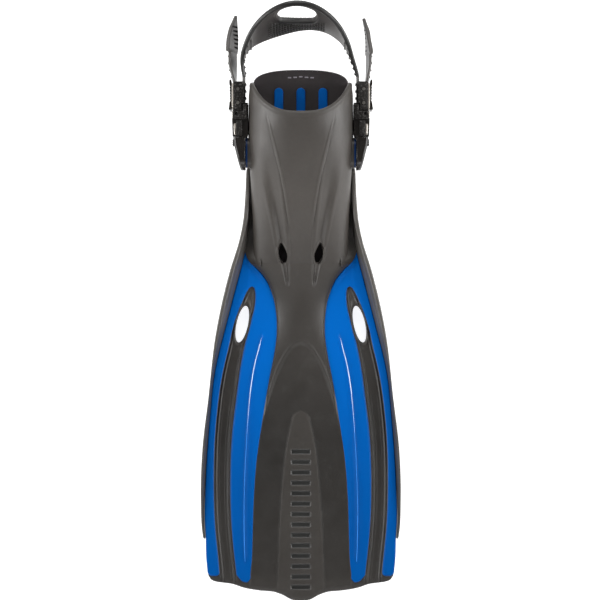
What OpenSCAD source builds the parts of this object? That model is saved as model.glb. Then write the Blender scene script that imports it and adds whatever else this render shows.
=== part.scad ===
// Open-heel swim fin with side buckles and a rubber heel strap.
// Millimetres. X runs across the fin, +Y towards the heel, +Z up.
// The fin lies on its sole; the origin is under the middle of the whole fin.

/* [Overall] */
// Length from blade tip to the back of the heel strap
overall_l = 650; // [620:5:680]

/* [Foot pocket] */
// Outside width of the foot pocket
pocket_w = 114; // [108:1:122]
// Height of the foot pocket at the middle of its throat
pocket_h = 86; // [78:1:92]
// Rubber thickness of the foot pocket
wall = 4; // [3:0.5:5]
// Sole plate thickness
sole_t = 9; // [7:0.5:12]
// How far the sole runs out behind the pocket sides
sole_overhang = 17; // [10:1:22]
// Height of the raised ribs on the sole
rib_h = 2.5; // [1:0.5:4]

/* [Blade] */
// Scale of the blade outline across the fin
blade_spread = 1; // [0.97:0.01:1.06]
// Thickness of the blue blade panels
panel_t = 4; // [3:0.5:5]
// Height of the underside of the blade above the floor
blade_z = 12; // [9:1:14]
// Tallest point of the side rails
rail_h = 42; // [34:1:44]
// Width of the oval slot in each channel
slot_w = 12.4; // [9:0.2:13]
// Length of the oval slot in each channel
slot_l = 40.6; // [30:0.2:42]

/* [Strap] */
// Width of the strap band in the buckles
strap_w = 22; // [20:1:23]
// Thickness of the strap between its teeth
strap_t = 3; // [2.5:0.1:3]
// Height of the strap teeth
tooth_h = 1.3; // [0.8:0.1:1.3]
// Spacing of the strap teeth
tooth_pitch = 7.5; // [6:0.5:9]
// Height of the heel pad at the middle of the strap
heel_pad_h = 50; // [42:1:56]
// Length of the finger hole in the heel pad
finger_hole_l = 44; // [36:1:50]

/* [Buckles] */
// Height of the buckle pivots above the floor
pivot_z = 40; // [38:1:42]
// Radius of the stud that each buckle turns on
stud_r = 5.5; // [5:0.1:5.5]
// Radius of the strap rollers
roller_r = 3; // [2.6:0.1:3]
// Thickness of the top and bottom plates of the buckle frames
plate_t = 4; // [3:0.5:4]

/* [Hidden] */

// Colours
grey_rubber = [0.20, 0.19, 0.18];
dark_rubber = [0.10, 0.10, 0.095];
blue = [0.02, 0.20, 0.55];
black = [0.03, 0.03, 0.03];
steel = [0.62, 0.62, 0.60];

// Clearances
run_gap = 0.3;      // between pieces that move past each other
pin_gap = 0.05;     // around a pin or stud that turns
eps = 0.01;         // makes cutters run past a face

// Positions along the fin
tip_y = -overall_l / 2;
heel_y = overall_l / 2;
toe_y = tip_y + 369;
throat_mid_y = toe_y + 160;
throat_side_y = toe_y + 196;
pivot_y = toe_y + 116;
sole_back_y = throat_side_y + sole_overhang;

// Positions across the fin, measured outwards from the middle
pocket_u = pocket_w / 2;
post_out_u = pocket_u + 3.3;
swivel_in_u = post_out_u + run_gap;
swivel_out_u = pocket_u + 16.5;
strand_in_u = pocket_u + 3.1;
strand_out_u = strand_in_u + strap_t;
roller_u = strand_out_u + run_gap + roller_r;
outer_in_u = roller_u + roller_r + run_gap;
outer_out_u = outer_in_u + strap_t;
lever_in_u = outer_out_u + tooth_h + run_gap;

// Buckle positions along the fin
swivel_r = 15;
swivel_back_y = pivot_y + 20;
front_wall_y = swivel_back_y + 1;
front_wall_l = 4.5;
roller_y = pivot_y + 33;
neck_end_y = pivot_y + 47;
block_end_y = pivot_y + 80;
lever_y = neck_end_y + 4;
lever_hub_r = 1.9;
lever_u = lever_in_u + lever_hub_r;
block_out_u = lever_u + lever_hub_r + 0.1;
plate_in = strap_w / 2 + run_gap;
plate_out = plate_in + plate_t;
strand_end_y = throat_side_y + 5;

// ---------- Curves ----------

// Point between a and b
function mix(a, b, t) = a + (b - a) * t;

// Smooth curve through key points, with n steps between each pair
function spline(k, n) = [
    for (i = [0 : len(k) - 2], j = [0 : n - 1])
        let (
            a = k[max(i - 1, 0)], b = k[i], c = k[i + 1],
            d = k[min(i + 2, len(k) - 1)], t = j / n
        )
        (2 * b + (c - a) * t + (2 * a - 5 * b + 4 * c - d) * t * t
            + (3 * b - a - 3 * c + d) * t * t * t) / 2,
    k[len(k) - 1]
];

// The list in reverse order
function reversed(k) = [for (i = [len(k) - 1 : -1 : 0]) k[i]];

// Key points [u, y] given from the tip, spread and moved to the fin's place
function placed(k) = [for (p = k) [p[0] * blade_spread, p[1] + tip_y]];

// Edge between the dark middle of the blade and the blue panel
spine_edge = spline(placed([
    [53, 369], [41, 356], [30.5, 336], [26, 316], [25, 295], [27.7, 271], [32.8, 245],
    [41.7, 193], [47, 158], [50.5, 114], [52, 70], [53, 45], [54.5, 31]
]), 4);

// Inner edge of the dark channel
channel_inner = spline(placed([
    [55.2, 344.4], [50.2, 330], [53.1, 310], [60.3, 285], [65.3, 261], [70.4, 224],
    [75.3, 182], [77.1, 132], [76.5, 96], [74.1, 62], [71, 34], [63.5, 21]
]), 4);

// Outer edge of the dark channel
channel_outer = spline(placed([
    [55.2, 344.4], [62.5, 332], [67.8, 319], [73.5, 302], [78.8, 279], [85.7, 249],
    [92.4, 200], [95.2, 125], [93.4, 79], [90.8, 53], [88.9, 33]
]), 4);

// Edge between the blue panel and the side rail
rail_inner = spline(placed([
    [62.4, 378], [69.4, 350.5], [81.6, 303], [93.8, 253], [99.6, 200],
    [104.1, 132], [105.2, 90], [104, 68]
]), 4);

// Outer edge of the side rail
rail_outer = spline(placed([
    [60.2, 456], [61.8, 436], [63.4, 416], [66.9, 395], [77.6, 362], [91.9, 296],
    [101, 220], [107, 170], [109.1, 110], [108, 79], [106.5, 68]
]), 4);

// Outer edge of the blade behind the end of the rail
free_edge = spline(placed([[104, 68], [103.6, 50], [101.6, 28]]), 3);

// Edge of the blade tip, from the corner to the middle
tip_edge = spline(placed([
    [96, 22.5], [85.6, 20.3], [75, 18.8], [62.7, 14.8], [45.2, 11.8], [27.6, 10],
    [10.1, 1.6], [0, 0]
]), 3);

// Thin raised rib that follows the middle of the blue panel
panel_rib_line = spline(placed([
    [42, 289.5], [49, 264.7], [54.2, 235], [58.3, 200], [63.4, 150], [65.3, 114],
    [65.8, 79], [62.2, 46]
]), 4);

// ---------- Helpers ----------

// Draws on the right side, or mirrored to the left
module side(s) {
    if (s < 0) {
        mirror([1, 0, 0]) children();
    } else {
        children();
    }
}

// Extrudes a [y, z] profile across the fin between two X positions
module across(x0, x1) {
    translate([x0, 0, 0])
        rotate([90, 0, 90])
            linear_extrude(height = x1 - x0)
                children();
}

// Upright prism with its floor at z0
module upright(z0, z1) {
    translate([0, 0, z0])
        linear_extrude(height = z1 - z0)
            children();
}

// Rounded bar in plan between two points on one line along Y
module slot_2d(l, w) {
    for (s = [-1, 1]) translate([0, s * (l - w) / 2]) circle(d = w, $fn = 48);
    square([w, l - w], center = true);
}

// Oval with a point at each end, along Y
module pointed_2d(l, w) {
    r = (l * l + w * w) / (4 * w);
    intersection_for(s = [-1, 1])
        translate([s * (r - w / 2), 0])
            circle(r = r, $fn = 96);
}

// Ellipse with its long axis along Y
module ellipse_2d(l, w) {
    polygon([for (a = [0 : 7.5 : 352.5]) [w / 2 * cos(a), l / 2 * sin(a)]]);
}

// Axle across the fin, centred on the buckle pivot
module on_pivot(r, u0, u1) {
    translate([u0, pivot_y, pivot_z])
        rotate([0, 90, 0])
            cylinder(r = r, h = u1 - u0, $fn = 64);
}

// ---------- Foot pocket ----------

pocket_steps = 14;
arch_steps = 24;

// Half width and height of the pocket at a place along the fin, for these throat sizes
keys_u = 57;
keys_h = 86;
pocket_width_keys = [[0, 53], [20, 54.2], [60, 55.8], [100, 57], [200, 57]];
pocket_height_keys = [
    [0, 36], [14, 41], [46, 52], [76, 62], [106, 72], [136, 80], [160, 86], [200, 90]
];

function pocket_half(y) = lookup(y - toe_y, pocket_width_keys) * pocket_u / keys_u;
function pocket_top(y) = lookup(y - toe_y, pocket_height_keys) * pocket_h / keys_h;
// Height of the straight side walls
shoulder_share = 0.47;
function shoulder(y) = shoulder_share * pocket_top(y);

// How square the arch of the pocket is
arch_power = 2 / 2.3;

// Back edge of the pocket at an angle round the arch
function throat_y(a) = mix(throat_mid_y, throat_side_y, pow(abs(cos(a)), 3.2));

// Point on the pocket skin: step i round the arch, step j from toe to throat
function pocket_point(i, j, inset, front) =
    let (
        a = min(max((i - 1) / arch_steps, 0), 1) * 180,
        y = mix(front, throat_y(a), j / pocket_steps),
        w = pocket_half(y) - inset,
        s = shoulder(y),
        h = pocket_top(y) - inset - s,
        ca = abs(cos(a)) < 0.0001 ? 0 : cos(a)
    )
    [
        w * sign(ca) * pow(abs(ca), arch_power),
        y,
        (i == 0 || i == arch_steps + 2) ? 0 : s + h * pow(abs(sin(a)), arch_power)
    ];

ring = arch_steps + 3;

// Every point of one skin, row by row from the toe
function skin(inset, front) = [
    for (j = [0 : pocket_steps], i = [0 : ring - 1]) pocket_point(i, j, inset, front)
];

// Arch-shaped rubber shell, closed at the toe and open at the bottom and heel
module pocket_shell() {
    n = ring * (pocket_steps + 1);
    last = ring * pocket_steps;
    outer_faces = [
        for (j = [0 : pocket_steps - 1], i = [0 : ring - 2])
            [j * ring + i, j * ring + i + 1, (j + 1) * ring + i + 1, (j + 1) * ring + i]
    ];
    inner_faces = [
        for (j = [0 : pocket_steps - 1], i = [0 : ring - 2])
            [
                n + (j + 1) * ring + i, n + (j + 1) * ring + i + 1,
                n + j * ring + i + 1, n + j * ring + i
            ]
    ];
    throat_faces = [
        for (i = [0 : ring - 2])
            [last + i, last + i + 1, n + last + i + 1, n + last + i]
    ];
    bottom_faces = [
        for (j = [0 : pocket_steps - 1])
            [(j + 1) * ring, n + (j + 1) * ring, n + j * ring, j * ring],
        for (j = [0 : pocket_steps - 1])
            [
                j * ring + ring - 1, n + j * ring + ring - 1,
                n + (j + 1) * ring + ring - 1, (j + 1) * ring + ring - 1
            ],
        [0, n, n + ring - 1, ring - 1]
    ];
    toe_faces = [
        [for (i = [ring - 1 : -1 : 0]) i],
        [for (i = [0 : ring - 1]) n + i]
    ];
    polyhedron(
        points = concat(skin(0, toe_y), skin(wall, toe_y + wall)),
        faces = concat(outer_faces, inner_faces, throat_faces, bottom_faces, toe_faces),
        convexity = 6
    );
}

vent_u = 19.4;
vent_y = toe_y + 13;
vent_l = 21;
vent_w = 10;

// Foot pocket with two drain vents over the toes
module foot_pocket() {
    color(grey_rubber)
        difference() {
            pocket_shell();
            for (s = [-1, 1])
                translate([s * vent_u, vent_y, sole_t + 5])
                    linear_extrude(height = pocket_h)
                        pointed_2d(vent_l, vent_w);
        }
}

// Sole plate inside the walls, with a round back edge behind the heel
module footbed() {
    inner_line = [
        for (j = [0 : pocket_steps])
            let (p = pocket_point(ring - 1, j, wall, toe_y + wall))
            [-p[0], p[1]]
    ];
    corner_u = pocket_u - wall - 2.5;
    back_line = [
        for (a = [0 : 9 : 90])
            [corner_u * cos(a), sole_back_y - 9 + 9 * pow(sin(a), 0.9)]
    ];
    half = concat(inner_line, back_line);
    color(dark_rubber)
        upright(0, sole_t)
            polygon(concat(half, [
                for (p = reversed(half)) if (p[0] > eps) [-p[0], p[1]]
            ]));
}

sole_rib_w = 9.8;
sole_rib_l = 140;
sole_rib_pitch = 24.2;

// Three raised ribs that grip the boot
module footbed_ribs() {
    color(blue)
        for (i = [-1 : 1])
            translate([i * sole_rib_pitch, throat_side_y - 3 - sole_rib_l / 2, sole_t])
                linear_extrude(height = rib_h)
                    slot_2d(sole_rib_l, sole_rib_w);
}

// ---------- Blade ----------

blue_z = blade_z + panel_t;

// Blue panel in plan: a fork joined at the foot pocket end
module panel_2d() {
    apex = [61.5 * blade_spread, toe_y + 13];
    polygon(concat(
        [apex],
        rail_inner,
        free_edge,
        [[96 * blade_spread, tip_y + 29], [91 * blade_spread, tip_y + 30.5]],
        reversed(channel_outer),
        channel_inner,
        [[57.5 * blade_spread, tip_y + 23]],
        reversed(spine_edge)
    ));
}

// Blue panel of one side with its raised rib
module blue_panel(s) {
    rib_w = 2.2;
    rib_proud = 1.6;
    outer_line = [for (p = panel_rib_line) [p[0] + rib_w, p[1]]];
    color(blue)
        side(s) {
            upright(blade_z, blue_z) panel_2d();
            upright(blue_z - 1, blue_z + rib_proud)
                polygon(concat(panel_rib_line, reversed(outer_line)));
        }
}

// Right half of the blade between the rails
module blade_half_2d() {
    polygon(concat(
        [[0, toe_y]],
        [spine_edge[0]],
        [[61.5 * blade_spread, toe_y + 13]],
        rail_inner,
        free_edge,
        tip_edge
    ));
}

// Middle of the blade as seen from above, one half
module spine_half_2d() {
    polygon(concat(
        [[0, toe_y]],
        spine_edge,
        [[54.5 * blade_spread, tip_y + 13.4]],
        [for (p = tip_edge) if (p[0] < 50 * blade_spread) p]
    ));
}

// Side profile of the middle of the blade, lifted by extra
module spine_profile(extra) {
    top_line = spline([
        [toe_y, 35.5 + extra], [toe_y - 30, 30 + extra], [toe_y - 74, 23 + extra],
        [toe_y - 130, blue_z + 3.5 + extra], [toe_y - 240, blue_z + 2 + extra],
        [tip_y + 12, blue_z + 1 + extra], [tip_y - 1, blue_z - 1 + extra]
    ], 4);
    polygon(concat([[tip_y - 1, blade_z], [toe_y, blade_z]], top_line));
}

// Arch-shaped raised panel along the middle of the blade
module arch_2d() {
    arch_edge = spline(placed([
        [0, 209], [6.5, 205], [10.5, 194], [14.5, 176], [19.8, 132], [22.3, 96],
        [24.1, 62], [25.5, 18]
    ]), 4);
    polygon(concat(
        arch_edge,
        reversed([for (p = arch_edge) if (p[0] > 0) [-p[0], p[1]]])
    ));
}

// Dark rubber of the blade: middle ridge, channels and tip edge in one moulding
module blade_web() {
    slot_at = [64.1 * blade_spread, tip_y + 303.2];
    slot_tilt = 12;
    web_t = panel_t - 0.8;
    arch_lift = 2;
    color(dark_rubber)
        difference() {
            union() {
                for (s = [-1, 1])
                    side(s) {
                        upright(blade_z, blade_z + web_t)
                            difference() {
                                blade_half_2d();
                                panel_2d();
                            }
                        intersection() {
                            upright(0, 60) spine_half_2d();
                            across(-1, 80) spine_profile(0);
                        }
                    }
                intersection() {
                    upright(0, 60) arch_2d();
                    across(-40, 40) spine_profile(arch_lift);
                }
            }
            for (s = [-1, 1])
                side(s)
                    translate([slot_at[0], slot_at[1], 0])
                        rotate([0, 0, slot_tilt])
                            linear_extrude(height = 60)
                                ellipse_2d(slot_l, slot_w);
        }
}

// Side profile of a rail
module rail_profile() {
    front_y = tip_y + 60;
    back_y = tip_y + 470;
    top_line = spline([
        [back_y, 16], [toe_y + 84, 24], [toe_y + 62, rail_h - 10], [toe_y + 20, rail_h],
        [toe_y - 60, rail_h - 3], [toe_y - 150, rail_h - 10], [toe_y - 240, rail_h - 17],
        [tip_y + 80, 18], [front_y, 16]
    ], 4);
    polygon(concat([[front_y, 0], [toe_y + 78, 0], [back_y, 8]], top_line));
}

// Stiffening rail along one edge of the blade and the side of the foot pocket
module rail(s) {
    inner_line = concat(
        [[57.9 * blade_spread, tip_y + 456], [58.4 * blade_spread, tip_y + 416]],
        rail_inner
    );
    color(dark_rubber)
        side(s)
            intersection() {
                upright(0, 60) polygon(concat(inner_line, reversed(rail_outer)));
                across(40, 130) rail_profile();
            }
}

// ---------- Strap posts ----------

stud_end_u = swivel_in_u + 3.5;
screw_r = 2;
screw_head_r = 7.4;
screw_head_t = 1.8;
hex_r = 2.6;

// Rounded pad on the side of the foot pocket, with the stud for the buckle
module strap_post(s) {
    pad_l = 32;
    pad_h = 24;
    color(blue)
        side(s)
            difference() {
                union() {
                    across(pocket_u, post_out_u)
                        translate([pivot_y + 3, pivot_z])
                            rotate(90)
                                slot_2d(pad_l, pad_h);
                    on_pivot(stud_r, post_out_u - eps, stud_end_u);
                }
                on_pivot(screw_r + 0.02, pocket_u + 1, stud_end_u + eps);
            }
}

// Flanged screws that hold the buckles on their studs
module pivot_screws() {
    color(steel)
        for (s = [-1, 1])
            side(s)
                difference() {
                    union() {
                        on_pivot(screw_r, pocket_u + 1.5, stud_end_u + eps);
                        on_pivot(screw_head_r, stud_end_u, stud_end_u + screw_head_t);
                    }
                    translate([stud_end_u + 1, pivot_y, pivot_z])
                        rotate([0, 90, 0])
                            cylinder(r = hex_r, h = 3, $fn = 6);
                }
}

// ---------- Buckles ----------

tongue_in_u = pocket_u + 6;
tongue_t = 4.6;
tongue_w = 16;
tongue_tip_y = pivot_y + 10.2;
button_y0 = pivot_y + 11;
button_l = 7.5;
button_w = 12;
button_t = 3;
button_travel = 1;
button_proud = 1;

// Swivelling half of the buckle, which thins towards its round front end
module swivel(s) {
    counterbore_u = stud_end_u - run_gap;
    outer_line = spline([
        [swivel_in_u + 1.2, pivot_y - swivel_r - 0.5], [swivel_in_u + 4.6, pivot_y - 12.5],
        [swivel_in_u + 8, pivot_y - 4], [swivel_out_u - 1.4, pivot_y + 8],
        [swivel_out_u, swivel_back_y]
    ], 4);
    color(black)
        side(s)
            difference() {
                intersection() {
                    across(swivel_in_u, swivel_out_u)
                        union() {
                            translate([pivot_y, pivot_z]) circle(r = swivel_r, $fn = 96);
                            translate([pivot_y, pivot_z - 13])
                                square([swivel_back_y - pivot_y, 26]);
                        }
                    upright(0, 80)
                        polygon(concat(
                            outer_line,
                            [
                                [swivel_in_u - 1, swivel_back_y],
                                [swivel_in_u - 1, pivot_y - swivel_r - 0.5]
                            ]
                        ));
                }
                on_pivot(stud_r + pin_gap, swivel_in_u - eps, swivel_out_u + eps);
                on_pivot(screw_head_r + 0.6, counterbore_u, swivel_out_u + eps);
                translate([
                    tongue_in_u - run_gap, tongue_tip_y - 0.5,
                    pivot_z - tongue_w / 2 - run_gap
                ])
                    cube([tongue_t + 2 * run_gap, 20, tongue_w + 2 * run_gap]);
                translate([
                    swivel_out_u + button_proud - button_t - button_travel - 0.2,
                    button_y0 - run_gap, pivot_z - button_w / 2 - run_gap
                ])
                    cube([10, button_l + 2 * run_gap, button_w + 2 * run_gap]);
            }
}

// Spring-loaded push button that frees the clip
module release_button(s) {
    color(black)
        side(s)
            translate([
                swivel_out_u + button_proud - button_t, button_y0,
                pivot_z - button_w / 2
            ])
                difference() {
                    cube([button_t, button_l, button_w]);
                    for (i = [0 : 2])
                        translate([button_t - 0.5, 1.4 + 2 * i, -eps])
                            cube([1, 0.8, button_w + 1]);
                }
}

block_in_u = strand_out_u - 0.1;
neck_in_u = swivel_in_u + 1.4;
neck_out_u = neck_in_u + 12.5;
web_in_u = strand_out_u + run_gap;
web_out_u = outer_in_u - run_gap;

// Plan of the top and bottom plates: narrow neck and wider block with cut corners
module plate_2d() {
    cut = 3;
    polygon([
        [neck_in_u, front_wall_y], [neck_out_u, front_wall_y],
        [neck_out_u, neck_end_y - 2], [block_out_u - 1, neck_end_y],
        [block_out_u, neck_end_y + 2], [block_out_u, block_end_y - cut],
        [block_out_u - cut, block_end_y], [block_in_u + 1, block_end_y],
        [block_in_u, block_end_y - 1], [block_in_u, neck_end_y],
        [neck_in_u, neck_end_y - 3]
    ]);
}

frame_pin_r = 1.2;
frame_pin_u = web_out_u - frame_pin_r - 0.4;
frame_pin_ys = [neck_end_y + 10, neck_end_y + 25];
roller_pin_r = 1.5;
lever_pin_r = 1;

// Upper half of the buckle, which carries the roller, the lever and the tongue
module clip_frame(s) {
    color(black)
        side(s)
            difference() {
                union() {
                    upright(pivot_z + plate_in, pivot_z + plate_out) plate_2d();
                    upright(pivot_z - plate_out, pivot_z - plate_in) plate_2d();
                    translate([neck_in_u, front_wall_y, pivot_z - plate_out])
                        cube([neck_out_u - neck_in_u, front_wall_l, 2 * plate_out]);
                    translate([tongue_in_u, tongue_tip_y, pivot_z - tongue_w / 2])
                        cube([tongue_t, front_wall_y - tongue_tip_y + 1, tongue_w]);
                    translate([web_in_u, roller_y + 6, pivot_z - plate_out])
                        cube([
                            web_out_u - web_in_u, block_end_y - roller_y - 8,
                            2 * plate_out
                        ]);
                }
                // Window over the strap
                translate([roller_u - 1, roller_y + 8, pivot_z + plate_in - eps])
                    cube([6.5, 3.5, plate_t + 1]);
                // Bores for the pins
                upright(pivot_z - 30, pivot_z + 30) {
                    translate([roller_u, roller_y])
                        circle(r = roller_pin_r + 0.02, $fn = 32);
                    translate([lever_u, lever_y])
                        circle(r = lever_pin_r + 0.02, $fn = 32);
                    for (y = frame_pin_ys)
                        translate([frame_pin_u, y])
                            circle(r = frame_pin_r + 0.02, $fn = 32);
                }
                // Shallow step behind the cut corner
                translate([block_out_u - 2, block_end_y - 12, pivot_z + plate_out - 0.8])
                    cube([4, 6, 2]);
            }
}

// Upright pin with a low head on top
module headed_pin(u, y, r, head_r) {
    translate([u, y, pivot_z - plate_out])
        cylinder(r = r, h = 2 * plate_out + eps, $fn = 32);
    translate([u, y, pivot_z + plate_out])
        cylinder(r = head_r, h = 0.6, $fn = 32);
}

// The two pins that hold the frame's plates on its web
module frame_pins(s) {
    color(steel)
        side(s)
            for (y = frame_pin_ys)
                headed_pin(frame_pin_u, y, frame_pin_r, 1.7);
}

// Roller that the strap turns round
module roller(s) {
    color(black)
        side(s)
            upright(pivot_z - strap_w / 2, pivot_z + strap_w / 2)
                translate([roller_u, roller_y])
                    difference() {
                        circle(r = roller_r, $fn = 48);
                        circle(r = roller_pin_r + pin_gap, $fn = 32);
                    }
}

// Pin of the roller
module roller_pin(s) {
    color(steel)
        side(s)
            headed_pin(roller_u, roller_y, roller_pin_r, 2.2);
}

// Pin of the lock lever
module lever_pin(s) {
    color(steel)
        side(s)
            headed_pin(lever_u, lever_y, lever_pin_r, 1.5);
}

lever_t = 2.2;
lever_end_y = block_end_y + 4;

// Lever whose pawl locks the strap teeth, with a flared finger tab
module lock_lever(s) {
    pawl_y = roller_y + 4.5 * tooth_pitch;
    half_w = strap_w / 2 - 0.4;
    color(black)
        side(s)
            upright(pivot_z - half_w, pivot_z + half_w)
                difference() {
                    union() {
                        translate([lever_u, lever_y]) circle(r = lever_hub_r, $fn = 48);
                        polygon([
                            [lever_in_u, lever_y], [lever_u + 1, lever_y],
                            [lever_in_u + lever_t, lever_y + 4],
                            [lever_in_u + lever_t, block_end_y - 4],
                            [lever_in_u + lever_t + 3, lever_end_y],
                            [lever_in_u + lever_t + 0.8, lever_end_y + 0.6],
                            [lever_in_u, block_end_y - 2],
                            [lever_in_u, pawl_y + 1.2], [lever_in_u - 1, pawl_y],
                            [lever_in_u, pawl_y - 1.2]
                        ]);
                    }
                    translate([lever_u, lever_y])
                        circle(r = lever_pin_r + pin_gap, $fn = 32);
                }
}

// ---------- Heel strap ----------

band_steps = 36;
band_mid_u = (strand_in_u + strand_out_u) / 2;
band_z0 = pivot_z - strap_w / 2;
band_z1 = pivot_z + strap_w / 2;
pad_z0 = band_z0 + 7;
pad_z1 = pad_z0 + heel_pad_h;
pad_half_t = 2.4;
pad_low_y = heel_y - 31;
hole_low_y = heel_y - 20.5;
hole_rim = 8;

// Corners of the band at angle a, which is 0 at the heel and 90 at the sides
function band_section(a) =
    let (
        c = max(cos(a), 0),
        s = sin(a),
        half_t = mix(strap_t / 2, pad_half_t, c),
        reach_low = (pad_low_y - strand_end_y) * pow(c, 0.7),
        reach_high = (heel_y - pad_half_t - strand_end_y) * pow(c, 0.95),
        nx = c > 0.0001 ? s : sign(s),
        z_low = mix(band_z0, pad_z0, c),
        z_high = mix(band_z1, pad_z1, pow(c, 1.2)),
        in_u = band_mid_u * s - half_t * nx,
        out_u = band_mid_u * s + half_t * nx
    )
    [
        [in_u, strand_end_y + reach_low - half_t * c, z_low],
        [out_u, strand_end_y + reach_low + half_t * c, z_low],
        [out_u, strand_end_y + reach_high + half_t * c, z_high],
        [in_u, strand_end_y + reach_high - half_t * c, z_high]
    ];

// Band round the heel, leaning back and widening from the two straight strands
module heel_band() {
    points = [
        for (i = [0 : band_steps]) each band_section(-90 + 180 * i / band_steps)
    ];
    skin_faces = [
        for (i = [0 : band_steps - 1], k = [0 : 3])
            [i * 4 + 4 + k, i * 4 + 4 + (k + 1) % 4, i * 4 + (k + 1) % 4, i * 4 + k]
    ];
    end = band_steps * 4;
    polyhedron(
        points = points,
        faces = concat(skin_faces, [[0, 1, 2, 3], [end + 3, end + 2, end + 1, end]]),
        convexity = 6
    );
}

// Finger hole in plan: straight front edge and arched back edge
module finger_hole_2d() {
    hole_u = band_mid_u - 6;
    reach = heel_y - hole_rim - strand_end_y;
    hole_a = asin(finger_hole_l / 2 / hole_u);
    arch = [
        for (i = [-6 : 6])
            let (a = hole_a * i / 6)
            [hole_u * sin(a), strand_end_y + reach * cos(a)]
    ];
    polygon(concat(arch, [
        [finger_hole_l / 2 - 2, hole_low_y], [-finger_hole_l / 2 + 2, hole_low_y]
    ]));
}

// Plan of one tooth, pointing to +X from its base line
module tooth_2d() {
    polygon([[-0.2, -1.6], [tooth_h, -0.5], [tooth_h, 0.5], [-0.2, 1.6]]);
}

tab_y = heel_y - 55;

// Strands, turn round the roller and free end with its pull tab, right side in plan
module strand_2d() {
    turn_in = roller_r + run_gap;
    turn_out = turn_in + strap_t;
    translate([strand_in_u, roller_y])
        square([strap_t, strand_end_y - roller_y]);
    translate([outer_in_u, roller_y])
        square([strap_t, tab_y + 1 - roller_y]);
    intersection() {
        translate([roller_u, roller_y])
            difference() {
                circle(r = turn_out, $fn = 72);
                circle(r = turn_in, $fn = 72);
            }
        translate([strand_in_u - 1, roller_y - 20])
            square([30, 20]);
    }
    for (i = [1 : 5])
        translate([strand_in_u, roller_y + i * tooth_pitch])
            mirror([1, 0]) tooth_2d();
    for (i = [1 : 9])
        translate([outer_out_u, roller_y + i * tooth_pitch])
            tooth_2d();
    // Arrow-shaped pull tab with grip notches on its inner edge
    difference() {
        polygon([
            [outer_in_u, tab_y], [outer_in_u - 2.6, tab_y + 5],
            [outer_in_u - 2.8, tab_y + 14], [outer_in_u + 0.2, tab_y + 36],
            [outer_in_u + 1.6, tab_y + 38], [outer_in_u + 3, tab_y + 35],
            [outer_in_u + 10.2, tab_y + 3], [outer_in_u + 9, tab_y + 1.2],
            [outer_in_u + 3.6, tab_y + 3], [outer_out_u, tab_y]
        ]);
        for (i = [0 : 4])
            translate([outer_in_u - 4 + 0.35 * i, tab_y + 7 + 4 * i])
                square([3, 1.6]);
    }
}

// Rubber strap in one piece: both strands, both free ends, and the heel pad
module heel_strap() {
    color(grey_rubber)
        union() {
            difference() {
                heel_band();
                upright(pad_z0, pad_z1) finger_hole_2d();
            }
            for (s = [-1, 1])
                side(s)
                    upright(band_z0, band_z1) strand_2d();
        }
}

// ---------- Nodes ----------

foot_pocket();
footbed();
footbed_ribs();
blade_web();
blue_panel(-1);  // blue_panel_left
blue_panel(1);  // blue_panel_right
rail(-1);  // rail_left
rail(1);  // rail_right
strap_post(-1);  // strap_post_left
strap_post(1);  // strap_post_right
pivot_screws();
swivel(-1);  // swivel_left
swivel(1);  // swivel_right
release_button(-1);  // release_button_left
release_button(1);  // release_button_right
clip_frame(-1);  // clip_frame_left
clip_frame(1);  // clip_frame_right
frame_pins(-1);  // frame_pins_left
frame_pins(1);  // frame_pins_right
roller(-1);  // roller_left
roller(1);  // roller_right
roller_pin(-1);  // roller_pin_left
roller_pin(1);  // roller_pin_right
lock_lever(-1);  // lock_lever_left
lock_lever(1);  // lock_lever_right
lever_pin(-1);  // lever_pin_left
lever_pin(1);  // lever_pin_right
heel_strap();
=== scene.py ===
"""Looks of the open-heel swim fin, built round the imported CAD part.

Builders work in millimetres in the part's own frame: X across the fin, +Y towards the heel,
+Z up. Meshes are stored in metres.
"""

import math

import bmesh
import bpy
import numpy as np
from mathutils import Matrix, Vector
from mathutils.geometry import tessellate_polygon


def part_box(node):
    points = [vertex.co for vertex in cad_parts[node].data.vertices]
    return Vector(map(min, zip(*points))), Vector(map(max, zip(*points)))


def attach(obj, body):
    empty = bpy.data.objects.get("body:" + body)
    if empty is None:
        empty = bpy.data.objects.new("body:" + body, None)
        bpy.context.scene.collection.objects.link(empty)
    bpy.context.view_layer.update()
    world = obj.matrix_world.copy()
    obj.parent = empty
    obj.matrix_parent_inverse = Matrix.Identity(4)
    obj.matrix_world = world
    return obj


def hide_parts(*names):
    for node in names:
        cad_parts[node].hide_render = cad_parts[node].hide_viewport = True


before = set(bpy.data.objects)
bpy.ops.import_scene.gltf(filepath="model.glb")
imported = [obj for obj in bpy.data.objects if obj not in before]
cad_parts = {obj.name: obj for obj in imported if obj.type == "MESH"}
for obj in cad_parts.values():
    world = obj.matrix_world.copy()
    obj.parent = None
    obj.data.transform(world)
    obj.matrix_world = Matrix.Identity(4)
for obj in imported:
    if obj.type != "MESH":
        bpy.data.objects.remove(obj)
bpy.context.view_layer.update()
MM = 0.001


def cad_box(node):
    """Lowest and highest corner of a CAD node, in millimetres."""
    low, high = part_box(node)
    return [c / MM for c in low], [c / MM for c in high]


# ---------- Places taken from the CAD part ----------

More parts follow.
